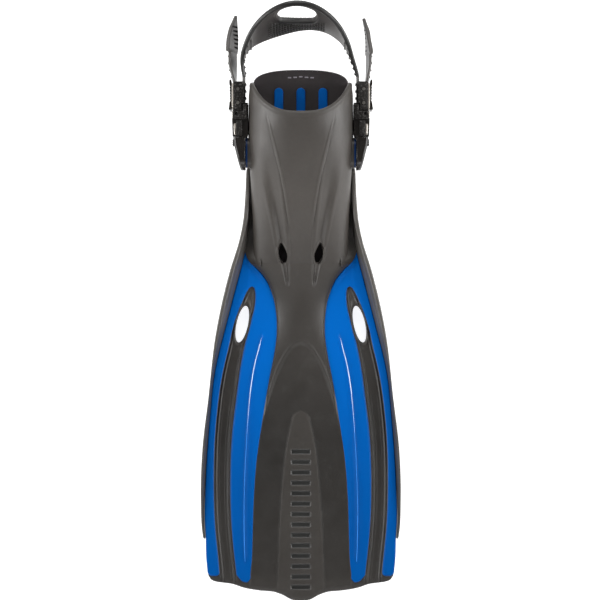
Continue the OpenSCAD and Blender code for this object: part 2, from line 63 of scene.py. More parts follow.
POCKET_LOW, POCKET_HIGH = cad_box("foot_pocket")
SOLE_LOW, SOLE_HIGH = cad_box("footbed")
WEB_LOW = cad_box("blade_web")[0]
POST_OUT_U = cad_box("strap_post_right")[1][0]
FRAME_TOP_Z = cad_box("clip_frame_right")[1][2]
STRAP_HIGH = cad_box("heel_strap")[1]
RIBS_LOW, RIBS_HIGH = cad_box("footbed_ribs")
BLUE_LOW, BLUE_HIGH = cad_box("blue_panel_right")
RAIL_LOW, RAIL_HIGH = cad_box("rail_right")
SCREW_LOW, SCREW_HIGH = cad_box("pivot_screws")
BASE_LOW, BASE_HIGH = cad_box("swivel_right")
ROLLER_LOW, ROLLER_HIGH = cad_box("roller_right")
BUTTON_LOW, BUTTON_HIGH = cad_box("release_button_right")

TIP_Y = WEB_LOW[1]
TOE_Y = POCKET_LOW[1]
POCKET_U = POCKET_HIGH[0]
POCKET_H = POCKET_HIGH[2]
THROAT_SIDE_Y = POCKET_HIGH[1]
THROAT_MID_Y = TOE_Y + 162
WALL = 4.0
SOLE_T = SOLE_HIGH[2]
BLADE_Z = WEB_LOW[2]
PIVOT_Y = (SCREW_LOW[1] + SCREW_HIGH[1]) / 2
PIVOT_Z = (SCREW_LOW[2] + SCREW_HIGH[2]) / 2
SPREAD = RAIL_HIGH[0] / 109.1


# ---------- Curves ----------


def keyed(keys, scale=1.0, shift=0.0):
    """Smooth function of position through (position, value) pairs, flat beyond the ends."""
    k = sorted((p + shift, v * scale) for p, v in keys)
    xs = np.array([p for p, _ in k], float)
    vs = np.array([v for _, v in k], float)
    slopes = np.gradient(vs, xs)

    def value(x):
        x = np.clip(np.asarray(x, float), xs[0], xs[-1])
        i = np.clip(np.searchsorted(xs, x, side="right") - 1, 0, len(xs) - 2)
        h = xs[i + 1] - xs[i]
        t = (x - xs[i]) / h
        return (
            vs[i] * (1 + 2 * t) * (1 - t) ** 2
            + slopes[i] * h * t * (1 - t) ** 2
            + vs[i + 1] * t * t * (3 - 2 * t)
            + slopes[i + 1] * h * t * t * (t - 1)
        )

    return value


def from_tip(keys):
    """Function of Y from (distance from the tip, half width) pairs."""
    return keyed(keys, SPREAD, TIP_Y)


def from_toe(keys):
    """Function of Y from (distance from the toe, value) pairs."""
    return keyed(keys, 1.0, TOE_Y)


def smooth(t):
    """0 below 0, 1 above 1, with a soft start and end."""
    t = np.clip(t, 0, 1)
    return t * t * (3 - 2 * t)


def bump(d, width):
    """1 at d = 0, falling softly to 0 at d = width on both sides."""
    return smooth(1 - np.abs(d) / width)


def edge_round(d, radius):
    """Share of full thickness at distance d from an edge rounded to radius."""
    return np.sqrt(np.clip(1 - (1 - np.clip(d / radius, 0, 1)) ** 2, 0, 1))


def line_distance(x, y, points):
    """Distance in plan from each (x, y) to a polyline."""
    best = np.full(np.shape(x), 1e9)
    for (ax, ay), (bx, by) in zip(points[:-1], points[1:]):
        ex, ey = bx - ax, by - ay
        t = np.clip(((x - ax) * ex + (y - ay) * ey) / max(ex * ex + ey * ey, 1e-9), 0, 1)
        best = np.minimum(best, np.hypot(x - ax - t * ex, y - ay - t * ey))
    return best


spine_edge = from_tip([
    (369, 53), (356, 41), (336, 30.5), (316, 26), (295, 25), (271, 27.7), (245, 32.8),
    (193, 41.7), (158, 47), (114, 50.5), (70, 52), (45, 53), (31, 54.5),
])
CHANNEL_TOP = 344.4
channel_inner = from_tip([
    (CHANNEL_TOP, 53.4), (343.4, 51.6), (341, 50.5), (337, 49.9), (330, 49.9), (322, 50.8),
    (310, 53.6), (285, 60.3), (261, 65.3), (224, 70.4), (182, 75.3), (132, 77.1), (96, 76.5),
    (62, 74.1), (34, 71), (0, 68),
])
channel_outer = from_tip([
    (CHANNEL_TOP, 53.4), (343.4, 55.4), (341, 57.4), (337, 59.8), (330, 63.0), (319, 67.4),
    (302, 73.5), (279, 78.8), (249, 85.7), (200, 92.4), (125, 95.2), (79, 93.4), (53, 90.8),
    (33, 88.9), (0, 87),
])
rail_inner = from_tip([
    (466, 55.3), (440, 55.6), (416, 56.4), (397, 58.4), (382, 61.0), (350.5, 69.2),
    (303, 81.6), (253, 93.8), (200, 99.6), (132, 104.1), (90, 105.2), (68, 104),
    (50, 103.6), (28, 101.6),
])
rail_outer = from_tip([
    (466, 59.7), (440, 60.7), (416, 62.7), (395, 66.8), (362, 76.9), (296, 91.9),
    (220, 101), (170, 107), (110, 109.1), (79, 108), (68, 106.5),
])
rib_u = from_tip([
    (290, 42.5), (276, 46), (264, 49.2), (235, 54.4), (200, 57.7), (168, 59.7),
    (140, 61.0), (114, 61.8), (90, 62.1), (70, 61.9), (56, 61.5), (45, 61.0),
])
# Distance from the tip as a function of distance from the middle
tip_line = keyed([
    (0, 0), (10.1, 1.8), (20, 7), (27.6, 9.8), (45.2, 11.8), (62.7, 14.8), (75, 18.8),
    (85.6, 20.3), (94, 21.8), (99, 24.5), (101.6, 29),
])
arch_line = keyed([
    (0, 284), (8, 280.5), (14, 274), (20, 264), (25, 254), (30, 241), (36, 220), (41, 196),
])
PANEL_TOP = 209
PANEL_KEYS = [
    (205, 6.5), (194, 10.5), (176, 14.5), (132, 19.8), (96, 22.3), (62, 24.1), (18, 25.5),
    (0, 26),
]
panel_half = from_tip([(PANEL_TOP, 0), *PANEL_KEYS])


def curve(points, count=90):
    """Smooth run of points through (u, distance from the tip) pairs."""
    pts = np.array([(SPREAD * u, TIP_Y + y) for u, y in points])
    run = np.concatenate([[0], np.cumsum(np.linalg.norm(np.diff(pts, axis=0), axis=1))])
    t = np.linspace(0, run[-1], count)
    us, ys = keyed(list(zip(run, pts[:, 0])))(t), keyed(list(zip(run, pts[:, 1])))(t)
    return list(zip(us, ys))


panel_line = curve([(0, PANEL_TOP), (3.6, 208), *((u, y) for y, u in PANEL_KEYS)])


# ---------- Mesh helpers ----------


def closed_mesh(name, vertices, faces, side, marks=None, weld=None):
    """Mesh from millimetres with its faces turned outwards.

    Points closer together than weld become one.
    """
    mesh = bpy.data.meshes.new(name)
    mesh.from_pydata([(side * x * MM, y * MM, z * MM) for x, y, z in vertices], [], faces)
    if marks:
        mesh.polygons.foreach_set("material_index", [int(m) for m in marks])
    work = bmesh.new()
    work.from_mesh(mesh)
    if weld:
        bmesh.ops.remove_doubles(work, verts=work.verts, dist=weld * MM)
        loose = [v for v in work.verts if not v.link_faces]
        bmesh.ops.delete(work, geom=loose, context="VERTS")
    bmesh.ops.recalc_face_normals(work, faces=work.faces)
    work.to_mesh(mesh)
    work.free()
    return mesh


def linked(name, data):
    """New object of the scene."""
    obj = bpy.data.objects.new(name, data)
    bpy.context.scene.collection.objects.link(obj)
    return obj


def make_object(
    name, shape, material, side=1, body="fin", split=None, weld=0.002, extra=(),
    replaces=None,
):
    """Smooth closed mesh from vertices in millimetres, faces and optional face marks.

    side is -1 for the left, mirrored piece. Marks pick from the extra materials, and the
    shading splits at edges sharper than split degrees.
    """
    vertices, faces, *marks = shape
    mesh = closed_mesh(name, vertices, faces, side, marks[0] if marks else None, weld)
    smooth_faces(mesh)
    obj = linked(name, mesh)
    for mat in (material, *extra):
        mesh.materials.append(mat)
    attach(obj, body)
    if split:
        sharpen(obj, split)
    if replaces:
        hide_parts(replaces)
    return obj


def smooth_faces(mesh):
    """Turns on smooth shading."""
    for p in mesh.polygons:
        p.use_smooth = True


def sharpen(obj, angle):
    """Splits the shading at edges sharper than angle degrees."""
    obj.modifiers.new("edges", "EDGE_SPLIT").split_angle = math.radians(angle)


def grid_normals(points):
    """Unit normals of a (rows, columns, 3) grid."""
    n = np.cross(np.gradient(points, axis=0), np.gradient(points, axis=1))
    return n / np.maximum(np.linalg.norm(n, axis=2, keepdims=True), 1e-9)


def cell_centres(g):
    """Means of the four corners of each cell."""
    return (g[:-1, :-1] + g[1:, :-1] + g[:-1, 1:] + g[1:, 1:]) / 4


def shell(top, bottom, keep=None, mark=None):
    """Vertices, faces and face marks of the closed body between two grids."""
    rows, cols = top.shape[:2]
    keep = np.ones((rows - 1, cols - 1), bool) if keep is None else keep
    mark = np.zeros((rows - 1, cols - 1), int) if mark is None else mark
    count = rows * cols
    faces, edges, marks = [], {}, []
    for j, i in zip(*np.nonzero(keep)):
        a = j * cols + i
        quad = [a, a + 1, a + cols + 1, a + cols]
        faces += [quad, [count + q for q in reversed(quad)]]
        marks += [mark[j, i], mark[j, i]]
        edges.update({pair: mark[j, i] for pair in zip(quad, quad[1:] + quad[:1])})
    for (a, b), value in edges.items():
        if (b, a) not in edges:
            faces.append([b, a, count + a, count + b])
            marks.append(value)
    vertices = np.concatenate([top.reshape(-1, 3), bottom.reshape(-1, 3)])
    return vertices.tolist(), faces, marks


def grid(u, y, z):
    """Points of a grid from its coordinates."""
    return np.stack([u, y, z], axis=-1)


def hole_edge_vertices(keep):
    """Grid points on the edge between kept and dropped cells."""
    rows, cols = keep.shape
    kept = np.zeros((rows + 1, cols + 1), int)
    dropped = np.zeros((rows + 1, cols + 1), int)
    for dj in (0, 1):
        for di in (0, 1):
            kept[dj : dj + rows, di : di + cols] += keep
            dropped[dj : dj + rows, di : di + cols] += ~keep
    return (kept > 0) & (dropped > 0)


def rounded(points, radii, steps=5):
    """Outline with its corners rounded; radii is one number or one for each corner."""
    count = len(points)
    radii = [radii] * count if isinstance(radii, (int, float)) else radii
    out = []
    for i, p in enumerate(points):
        p = np.array(p, float)
        a = np.array(points[i - 1], float) - p
        b = np.array(points[(i + 1) % count], float) - p
        la, lb = np.linalg.norm(a), np.linalg.norm(b)
        cut = min(radii[i], la * 0.49, lb * 0.49)
        start, end = p + a / la * cut, p + b / lb * cut
        for t in np.linspace(0, 1, steps + 1):
            out.append(tuple((1 - t) ** 2 * start + 2 * t * (1 - t) * p + t * t * end))
    return out


def circle(u, v, r, count=32):
    """Points round a circle."""
    turns = [2 * math.pi * k / count for k in range(count)]
    return [(u + r * math.cos(a), v + r * math.sin(a)) for a in turns]


def box(u0, v0, u1, v1):
    """Corners of a rectangle."""
    return [(u0, v0), (u1, v0), (u1, v1), (u0, v1)]


def stadium(u, v0, v1, r, count=17):
    """Rounded bar along v between the centres of its round ends."""
    return [
        (u + r * math.cos(a), v + r * math.sin(a))
        for v, first in ((v1, 0), (v0, math.pi))
        for a in np.linspace(first, first + math.pi, count)
    ]


def ring_faces(rows, count, base=0):
    """Faces between stacked rings of count points."""
    return [
        [base + r * count + i, base + r * count + j,
         base + (r + 1) * count + j, base + (r + 1) * count + i]
        for r in range(rows - 1)
        for i, j in zip(range(count), [*range(1, count), 0])
    ]


def lofted(rings):
    """Vertices and faces of the closed body through a stack of rings."""
    rows, count = len(rings), len(rings[0])
    last = (rows - 1) * count
    ends = [list(range(count)), [last + i for i in reversed(range(count))]]
    return [p for ring in rings for p in ring], ring_faces(rows, count) + ends


AXES = {
    "x": lambda a, b, h: (h, a, b),
    "y": lambda a, b, h: (a, h, b),
    "z": lambda a, b, h: (a, b, h),
}


def prism(outline, low, high, bevel=0.0, axis="z", steps=3, holes=None):
    """Vertices and faces of a flat body with rounded edges.

    A list of holes, which may be empty, splits the two flat faces into triangles.
    """
    levels = [(0.0, low), (0.0, high)]
    if bevel > 0:
        turns = [k / steps * math.pi / 2 for k in range(steps + 1)]
        levels = [
            (bevel * (1 - math.sin(a)), low + bevel * (1 - math.cos(a))) for a in turns
        ] + [(bevel * (1 - math.cos(a)), high - bevel * (1 - math.sin(a))) for a in turns]
    points, faces, caps = [], [], ([], [])
    for k, loop in enumerate([outline, *(holes or [])]):
        pts = np.array(loop, float)
        ahead = np.roll(pts, -1, axis=0)
        area = np.sum(pts[:, 0] * ahead[:, 1] - ahead[:, 0] * pts[:, 1])
        if (area < 0) == (k == 0):
            pts = pts[::-1]
        edge = np.roll(pts, -1, axis=0) - pts
        edge /= np.maximum(np.linalg.norm(edge, axis=1, keepdims=True), 1e-9)
        normal = np.stack([edge[:, 1], -edge[:, 0]], axis=1)
        corner = normal + np.roll(normal, 1, axis=0)
        corner /= np.maximum(np.sum(corner * corner, axis=1, keepdims=True) / 2, 0.5)
        base, count = len(points), len(pts)
        for inset, h in levels:
            points += [(a, b, h) for a, b in pts - corner * inset]
        faces += ring_faces(len(levels), count, base)
        for cap, start in zip(caps, (base, base + (len(levels) - 1) * count)):
            cap.append([start + i for i in range(count)])
    for cap in caps:
        if holes is None:
            faces += cap
            continue
        flat = [i for loop in cap for i in loop]
        loops = [[Vector((*points[i][:2], 0)) for i in loop] for loop in cap]
        faces += [[flat[i] for i in tri] for tri in tessellate_polygon(loops)]
    return [AXES[axis](*p) for p in points], faces


def joined(parts):
    """One list of vertices and faces from several."""
    vertices, faces = [], []
    for part in parts:
        base = len(vertices)
        vertices += part[0]
        faces += [[base + i for i in face] for face in part[1]]
    return vertices, faces


# ---------- Materials ----------


def node_adder(tree):
    """Function that adds a shader node; each input gets a value or another node's socket."""

    def add(kind, inputs, **settings):
        node = tree.nodes.new("ShaderNode" + kind)
        for key, value in settings.items():
            setattr(node, key, value)
        for key, value in inputs.items():
            if isinstance(value, bpy.types.NodeSocket):
                tree.links.new(value, node.inputs[key])
            else:
                node.inputs[key].default_value = value
        return node

    return add


def make_material(
    name, colour, roughness, grain=0.0, grain_scale=1200.0, mottle=0.12, wear=0.25,
    specular=0.5, coat=0.0, scratches=0.0, dust=0.0, along=None, speckle=0.0, swell=0.12,
    patch=None, metal=0.0,
):
    """Moulded plastic or rubber: colour drift, fine grain, scuffs and paler worn edges.

    along is a list of (place along the fin in metres, shade) pairs that multiply the colour: light
    and shade painted along the part.
    patch is (middle, radii, shade): an oval in plan whose colour is multiplied by shade.
    """
    mat = bpy.data.materials.new(name)
    mat.use_nodes = True
    mat.node_tree.nodes.clear()
    add = node_adder(mat.node_tree)
    place = add("TexCoord", {}).outputs["Object"]

    def noise(scale, detail=3.0, rough=0.55):
        return add("TexNoise", {
            "Vector": place, "Scale": scale, "Detail": detail, "Roughness": rough,
        }).outputs["Fac"]

    def remap(value, low, high, out_low, out_high, clamp=True):
        return add("MapRange", {
            "Value": value, "From Min": low, "From Max": high, "To Min": out_low,
            "To Max": out_high,
        }, clamp=clamp).outputs["Result"]

    def mixed(a, b, factor, kind="MIX"):
        inputs = {0: factor, 6: a, 7: b}
        return add("Mix", inputs, data_type="RGBA", blend_type=kind).outputs[2]

    def tone(gain, lift=0.0):
        return (*(min(c * gain + lift, 1) for c in colour), 1.0)

    def bumped(height, strength, distance, under=None):
        inputs = {"Height": height, "Strength": strength, "Distance": distance}
        if under:
            inputs["Normal"] = under
        return add("Bump", inputs).outputs["Normal"]

    dark, light = tone(1 - mottle), tone(1 + mottle)
    base = mixed(dark, light, remap(noise(14.0, 4.0), 0.35, 0.65, 0, 1))
    base = mixed(base, mixed(dark, light, remap(noise(260.0), 0.3, 0.7, 0, 1)), 0.35)
    split = add("SeparateXYZ", {"Vector": place}).outputs
    # Painted light and shade: a brightness ramp along the fin
    if along:
        first, last = along[0][0], along[-1][0]
        ramp = add("ValToRGB", {"Fac": remap(split["Y"], first, last, 0, 1)})
        elements = ramp.color_ramp.elements
        while len(elements) < len(along):
            elements.new(0.5)
        for element, (y, shade) in zip(elements, along):
            element.position = (y - first) / (last - first)
            element.color = (shade, shade, shade, 1.0)
        base = mixed(base, ramp.outputs["Color"], 1.0, "MULTIPLY")
    if patch:
        middle, radii, shade = patch
        squares = []
        for axis, c, r in zip("XY", middle, radii):
            scaled = remap(split[axis], c - r, c + r, -1, 1, clamp=False)
            squares.append(add("Math", {0: scaled, 1: scaled}, operation="MULTIPLY").outputs[0])
        reach = add("Math", {0: squares[0], 1: squares[1]}).outputs[0]
        grey = remap(reach, 0.45, 1.3, shade, 1.0)
        tint = add("CombineColor", dict.fromkeys(range(3), grey)).outputs["Color"]
        base = mixed(base, tint, 1.0, "MULTIPLY")
    if speckle > 0:
        specks = remap(noise(560.0, 1.0, 0.6), 0.54, 0.66, 0, speckle)
        base = mixed(base, tone(6, 0.08), specks)
    if wear > 0:
        edge = add("NewGeometry", {}).outputs["Pointiness"]
        base = mixed(base, tone(1.7, 0.03), remap(edge, 0.53, 0.60, 0, wear))
    if dust > 0:
        spots = remap(noise(45.0, 6.0, 0.7), 0.56, 0.8, 0, dust)
        base = mixed(base, tone(0.5, 0.16), spots)
    rough = remap(noise(60.0, 5.0, 0.6), 0.3, 0.7, roughness * 0.85, roughness * 1.15)
    normal = None
    if grain > 0:
        cells = add("TexVoronoi", {"Vector": place, "Scale": grain_scale}).outputs["Distance"]
        normal = bumped(cells, grain, 0.0002)
    normal = bumped(noise(90.0, 2.0), swell, 0.0006, normal)
    if scratches > 0:
        stretched = add("Mapping", {"Vector": place, "Scale": (1400.0, 60.0, 400.0)})
        lines = add("TexNoise", {
            "Vector": stretched.outputs["Vector"], "Scale": 1.0, "Detail": 6.0,
        }).outputs["Fac"]
        normal = bumped(lines, scratches, 0.0001, normal)
    shader = add("BsdfPrincipled", {
        "Base Color": base, "Roughness": rough, "Normal": normal, "Metallic": metal,
        "Specular IOR Level": specular, "Coat Weight": coat, "Coat Roughness": 0.12,
    })
    add("OutputMaterial", {"Surface": shader.outputs["BSDF"]})
    return mat


RUBBER_LOOK = dict(
    colour=(0.047, 0.042, 0.0375), roughness=0.42, grain=0.25, dust=0.05, specular=0.36,
    wear=0.1,
)
# Painted light and shade along the fin: the rubber is darker towards the tip and lighter on the
# foot pocket, for how the light falls rather than its own colour
BLADE_PAINTED_LIGHT = [
    (-0.325, 0.55), (-0.29, 0.36), (-0.15, 0.28), (-0.03, 0.59), (0.045, 0.74), (0.12, 1.0),
    (0.17, 0.89), (0.205, 0.79), (0.238, 1.1),
]
# Painted light: the raised middle panel gets a lighter copy of the same rubber, where it catches
# more light
PANEL_PAINTED_LIGHT = [(-0.325, 0.58), (-0.29, 0.56), (-0.15, 0.58), (-0.12, 0.6)]
RUBBER_MAT = make_material("fin_rubber", along=BLADE_PAINTED_LIGHT, **RUBBER_LOOK)
PANEL_LIT_MAT = make_material("blade_panel_painted_light_rubber", along=PANEL_PAINTED_LIGHT, **RUBBER_LOOK)
# Painted light and shade on the rail: darker towards the tip and lighter at its back end by the
# foot pocket
RAIL_MAT = make_material(
    "rail_rubber", (0.070, 0.065, 0.059), 0.36, grain=0.25, dust=0.05, wear=0.15,
    along=[(-0.12, 0.6), (0.09, 1.0), (0.13, 1.5)],
)
SOLE_MAT = make_material(
    "sole_rubber", (0.030, 0.025, 0.026), 0.6, grain=0.4, dust=0.04, specular=0.3
)
# Painted shade: the blue darkens towards the tip
BLUE_MAT = make_material(
    "blue_moulding", (0.0, 0.10, 0.41), 0.34, mottle=0.03, wear=0.0, specular=0.08,
    swell=0.02, along=[(-0.3, 0.56), (-0.2, 0.62), (-0.06, 0.86), (0.03, 0.95)],
)
# Painted highlight: pale blue along the rib crest, standing in for the light's reflection
CREST_HIGHLIGHT_MAT = make_material(
    "blue_crest_painted_highlight", (0.50, 0.62, 0.80), 0.2, mottle=0.05, wear=0.0, swell=0.02
)
# Painted highlight: lighter blue along the lower run of the rib crest
CREST_LOW_HIGHLIGHT_MAT = make_material(
    "blue_lower_crest_painted_highlight", (0.025, 0.20, 0.62), 0.3, mottle=0.05, wear=0.0, specular=0.15,
    swell=0.02,
)
# Painted shade: the blue post is coloured dark navy for the shade in the gap between pocket and
# buckle base
SHADED_BLUE_MAT = make_material(
    "blue_post_painted_shade", (0.0, 0.022, 0.10), 0.4, grain=0.1, mottle=0.08, wear=0.1,
    specular=0.3,
)
BLACK_MAT = make_material(
    "black_moulding", (0.008, 0.0066, 0.0058), 0.24, grain=0.3, grain_scale=900.0, coat=0.15,
    scratches=0.1, specular=0.4,
)
GRAIN_MAT = make_material(
    "black_grained_moulding", (0.005, 0.0042, 0.0036), 0.4, grain=1.0, grain_scale=620.0,
    mottle=0.4, wear=0.15, specular=0.2, speckle=0.45,
)
# Painted highlight: pale colour on the buckles' black outer bevels, standing in for their
# reflection
EDGE_HIGHLIGHT_MAT = make_material(
    "black_edge_painted_highlight", (0.30, 0.27, 0.235), 0.14, grain=0.1, coat=0.6, wear=0.5,
    specular=0.9,
)
STRAP_MAT = make_material(
    "strap_rubber", (0.046, 0.042, 0.039), 0.38, grain=0.25, dust=0.05, wear=0.15,
    patch=((-0.0045, 0.2965), (0.031, 0.0135), 0.2),
)
# Painted shade on the strap: near-black rubber on the top rim, inside the buckles, in the tab
# slots and on the grip dots
STRAP_SHADE_MAT = make_material(
    "strap_painted_shade_rubber", (0.007, 0.0065, 0.006), 0.34, grain=0.25, dust=0.02, specular=0.4,
    wear=0.05,
)
BAR_MAT = make_material(
    "grip_bar_rubber", (0.012, 0.012, 0.0115), 0.35, grain=0.2, specular=0.4, wear=0.05
)
STEEL_MAT = make_material(
    "brushed_pins", (0.45, 0.43, 0.41), 0.3, mottle=0.1, scratches=0.4, metal=1.0
)
PIN_MAT = make_material(
    "blackened_pins", (0.26, 0.245, 0.225), 0.3, mottle=0.1, scratches=0.4, metal=1.0
)
MARK_MAT = make_material(
    "pale_marks", (0.25, 0.23, 0.26), 0.5, grain=0.2, mottle=0.1, wear=0.0
)


# ---------- Foot pocket ----------

pocket_half = keyed([
    (0, 51.5), (20, 52), (60, 53), (90, 54.6), (125, 56.7), (165, 56.5), (186, 55.9),
    (193, 54.8), (197, 53.2), (200, 50.8),
], POCKET_U / 57, TOE_Y)
pocket_top = keyed(
    [(0, 36), (14, 41), (46, 52), (76, 62), (106, 72), (136, 80), (160, 86), (200, 90)],
    POCKET_H / 86, TOE_Y,
)
ARCH_POWER = 2 / 2.3
# Share of the section's run taken by each upright wall, and the wall's share of the height
WALL_SHARE, SHOULDER = 0.2, 0.47
VENT_U, VENT_Y = 19.4, TOE_Y + 11.8
VENT_L, VENT_W = 21.0, 10.0


def vent_reach(x, y):
    """Below 1 inside a drain vent, which is pointed behind and round in front."""
    dy = y - VENT_Y
    lean = VENT_U + 0.14 * dy
    half_w = VENT_W / 2 * (1.04 - 0.4 * smooth(dy / VENT_L + 0.25))
    return np.hypot((np.abs(x) - lean) / half_w, dy / (VENT_L / 2))


crease_u = from_toe([
    (30, 10.5), (40, 11.5), (60, 14.5), (95, 20.5), (125, 28), (155, 35.5),
])
scoop_u = from_toe([(10, 19), (31, 21.5), (51, 24.5), (76, 29), (106, 35), (130, 40)])
scoop_w = from_toe([(10, 6), (40, 7), (76, 9), (120, 12)])
groove_u = from_toe([(-24, 14.4), (2, 17.4), (14, VENT_U)])
groove_w = from_toe([(-26, 1.6), (-8, 3.8), (8, 5.4)])


def pocket_relief(x, y):
    """Height added to the top of the foot pocket and the blade root: creases and scoops."""
    u = np.abs(x)
    crease = crease_u(y)
    fade = smooth((y - TOE_Y - 20) / 40) * smooth((TOE_Y + 170 - y) / 30)
    raised = 1.7 * smooth((crease - u) / 2.4 + 0.5) * fade
    fold = 0.5 * bump(u - crease + 0.8, 1.8) * fade
    scoop_fade = smooth((y - TOE_Y - 6) / 14) * smooth((TOE_Y + 132 - y) / 70)
    across = (u - scoop_u(y)) / scoop_w(y)
    scoop = -3.2 * bump(across, 1.0) * scoop_fade
    ridge = 0.9 * (bump(across + 1.05, 0.35) + 0.6 * bump(across - 1.05, 0.35)) * scoop_fade
    rim = 0.9 * bump((vent_reach(x, y) - 1.25) * 4, 1.4) * (y > TOE_Y)
    groove_fade = smooth((y - TOE_Y + 26) / 8) * smooth((TOE_Y + 12 - y) / 8)
    across = (u - groove_u(y)) / groove_w(y)
    groove = (-2.0 * smooth(1.3 - np.abs(across)) + 1.3 * bump(across, 0.45)) * groove_fade
    return raised + fold + scoop + ridge + groove + rim


def arch_angle(t):
    """Angle round the arch at t, between the upright walls."""
    return np.clip((t - WALL_SHARE) / (1 - 2 * WALL_SHARE), 0, 1) * np.pi


def pocket_section(t, y):
    """Middle of the rubber at t (0 right sole edge, 1 left sole edge) and place y."""
    w = pocket_half(y) - WALL / 2
    top = pocket_top(y) - WALL / 2
    shoulder = SHOULDER * pocket_top(y)
    a = arch_angle(t)
    ca, sa = np.cos(a), np.sin(a)
    x = w * np.sign(ca) * np.abs(ca) ** ARCH_POWER
    z = shoulder + (top - shoulder) * np.maximum(sa, 0) ** ARCH_POWER
    side = np.minimum(t, 1 - t) / WALL_SHARE
    z = np.where(side < 1, shoulder * side, z)
    z = z + pocket_relief(x, y) * smooth((sa - 0.15) / 0.4)
    return grid(x, y + 0 * t, z)


def throat_end(t):
    """Back edge of the rubber at t."""
    rise = np.abs(np.cos(arch_angle(t))) ** 2.55
    return THROAT_MID_Y + (THROAT_SIDE_Y - THROAT_MID_Y) * rise


def build_pocket():
    """Arch of rubber with creases, drain vents and a rolled throat."""
    t = np.concatenate([
        np.linspace(0, 0.36, 80)[:-1], np.linspace(0.36, 0.64, 130)[:-1],
        np.linspace(0.64, 1, 80),
    ])
    s = np.concatenate([np.linspace(0, 0.16, 50)[:-1], np.linspace(0.16, 1, 150)])
    tt, ss = np.meshgrid(t, s)
    end = throat_end(tt)
    yy = TOE_Y + (end - TOE_Y) * ss
    mid = pocket_section(tt, yy)
    top_side = (tt > WALL_SHARE) & (tt < 1 - WALL_SHARE)
    reach = np.where(top_side, vent_reach(mid[..., 0], yy), 9.0)
    keep = cell_centres(reach) > 1
    # Pull the points round each vent onto its oval edge
    for j, i in zip(*np.nonzero(hole_edge_vertices(keep))):
        x, y = mid[j, i, 0], yy[j, i]
        cx = math.copysign(VENT_U, x)
        dx, dy = x - cx, y - VENT_Y
        for _ in range(6):
            f = float(vent_reach(np.array(cx + dx), np.array(VENT_Y + dy)))
            dx, dy = dx / max(f, 0.2), dy / max(f, 0.2)
        target = cx + dx
        yy[j, i] = VENT_Y + dy
        w = float(pocket_half(yy[j, i])) - WALL / 2
        ca = math.copysign(min(abs(target) / w, 1) ** (1 / ARCH_POWER), target)
        turn = math.acos(max(-1, min(1, ca))) / math.pi
        tt[j, i] = WALL_SHARE + (1 - 2 * WALL_SHARE) * turn
    mid = pocket_section(tt, yy)
    normal = grid_normals(mid)
    normal[..., 2] = np.where(top_side & (normal[..., 2] < 0), -normal[..., 2], normal[..., 2])
    outward = np.where(
        (mid[..., 0] * normal[..., 0] + (mid[..., 2] - 20) * normal[..., 2] < 0)[..., None],
        -normal, normal,
    )
    from_throat = end - yy
    from_vent = np.where(top_side, np.abs(reach - 1) * 9, 99)
    half = WALL / 2
    round_off = edge_round(np.minimum(from_throat, from_vent), half)
    lip = 0.7 * bump(from_throat - 3.0, 4.0)
    skin = half * np.maximum(round_off, 0.02)
    outer = mid + outward * (skin + lip * round_off)[..., None]
    inner = mid - outward * skin[..., None]
    for face in (outer, inner):
        face[..., 2] = np.maximum(face[..., 2], 0)
    make_object(
        "foot_pocket_rubber", shell(outer, inner, keep), RUBBER_MAT, split=55,
        replaces="foot_pocket",
    )


# ---------- Footbed ----------


def footbed_outline():
    """Plan of the footbed, round the back edge and up to the toe."""
    back = 17.0
    half = [
        (float(pocket_half(min(y, TOE_Y + 180))) - WALL + 0.2, y)
        for y in np.linspace(TOE_Y - 0.5, SOLE_HIGH[1] - back - 2, 30)
    ]
    corner_u = SOLE_HIGH[0] - 0.8
    half += [
        (corner_u * math.cos(a) ** 0.78, SOLE_HIGH[1] - back + back * math.sin(a) ** 0.78)
        for a in np.radians(np.arange(0, 91, 5))
    ]
    return half + [(-u, y) for u, y in reversed(half[:-1])]


def build_footbed():
    """Sole plate with rounded edges, three blue grip ribs and five plain bumps."""
    plate = prism(footbed_outline(), SOLE_LOW[2], SOLE_T, 1.6, steps=4)
    make_object("footbed_plate", plate, SOLE_MAT, split=50, replaces="footbed")
    r = 4.9
    pitch = (RIBS_HIGH[0] - RIBS_LOW[0]) / 2 - r
    outlines = [stadium(i * pitch, RIBS_LOW[1] + r, RIBS_HIGH[1] - r, r) for i in (-1, 0, 1)]
    ribs = [prism(o, SOLE_T - 0.6, RIBS_HIGH[2], 1.1, steps=4) for o in outlines]
    make_object(
        "footbed_grip_ribs", joined(ribs), BLUE_MAT, split=50,
        replaces="footbed_ribs",
    )
    bumps = []
    for i in range(-2, 3):
        x, y = 6.2 * i, SOLE_HIGH[1] - 8.8 + 0.5 * (2 - abs(i))
        outline = rounded(box(x - 2, y - 0.7, x + 2, y + 0.7), 0.6, 3)
        bumps.append(prism(outline, SOLE_T - 0.5, SOLE_T + 0.6, 0.3, steps=2))
    make_object("footbed_bumps", joined(bumps), MARK_MAT, weld=0.0005)


# ---------- Blade ----------

FLAT_Z = BLADE_Z + 3.4
BAR_Y = TIP_Y + 10
BAR_PITCH, BAR_W, BAR_L, BAR_COUNT = 11.4, 5.2, 21.0, 14
SLOT_U, SLOT_Y = 64.1 * SPREAD, TIP_Y + 303.2
SLOT_L, SLOT_W, SLOT_TURN = 40.6, 12.4, math.radians(12)

spine_top = keyed([
    (369, 35.7), (362, 34.0), (339, 27.2), (315, 22.2), (295, 19.8), (239, 18.0),
    (180, 17.4), (129, 16.9), (60, 16.4), (12, 16.0), (0, 15.9),
], 1.0, TIP_Y)


def slot_reach(u, y):
    """Below 1 inside the oval slot of a channel."""
    du, dy = u - SLOT_U, y - SLOT_Y
    across = du * math.cos(SLOT_TURN) + dy * math.sin(SLOT_TURN)
    along = -du * math.sin(SLOT_TURN) + dy * math.cos(SLOT_TURN)
    return np.hypot(across / (SLOT_W / 2), along / (SLOT_L / 2))


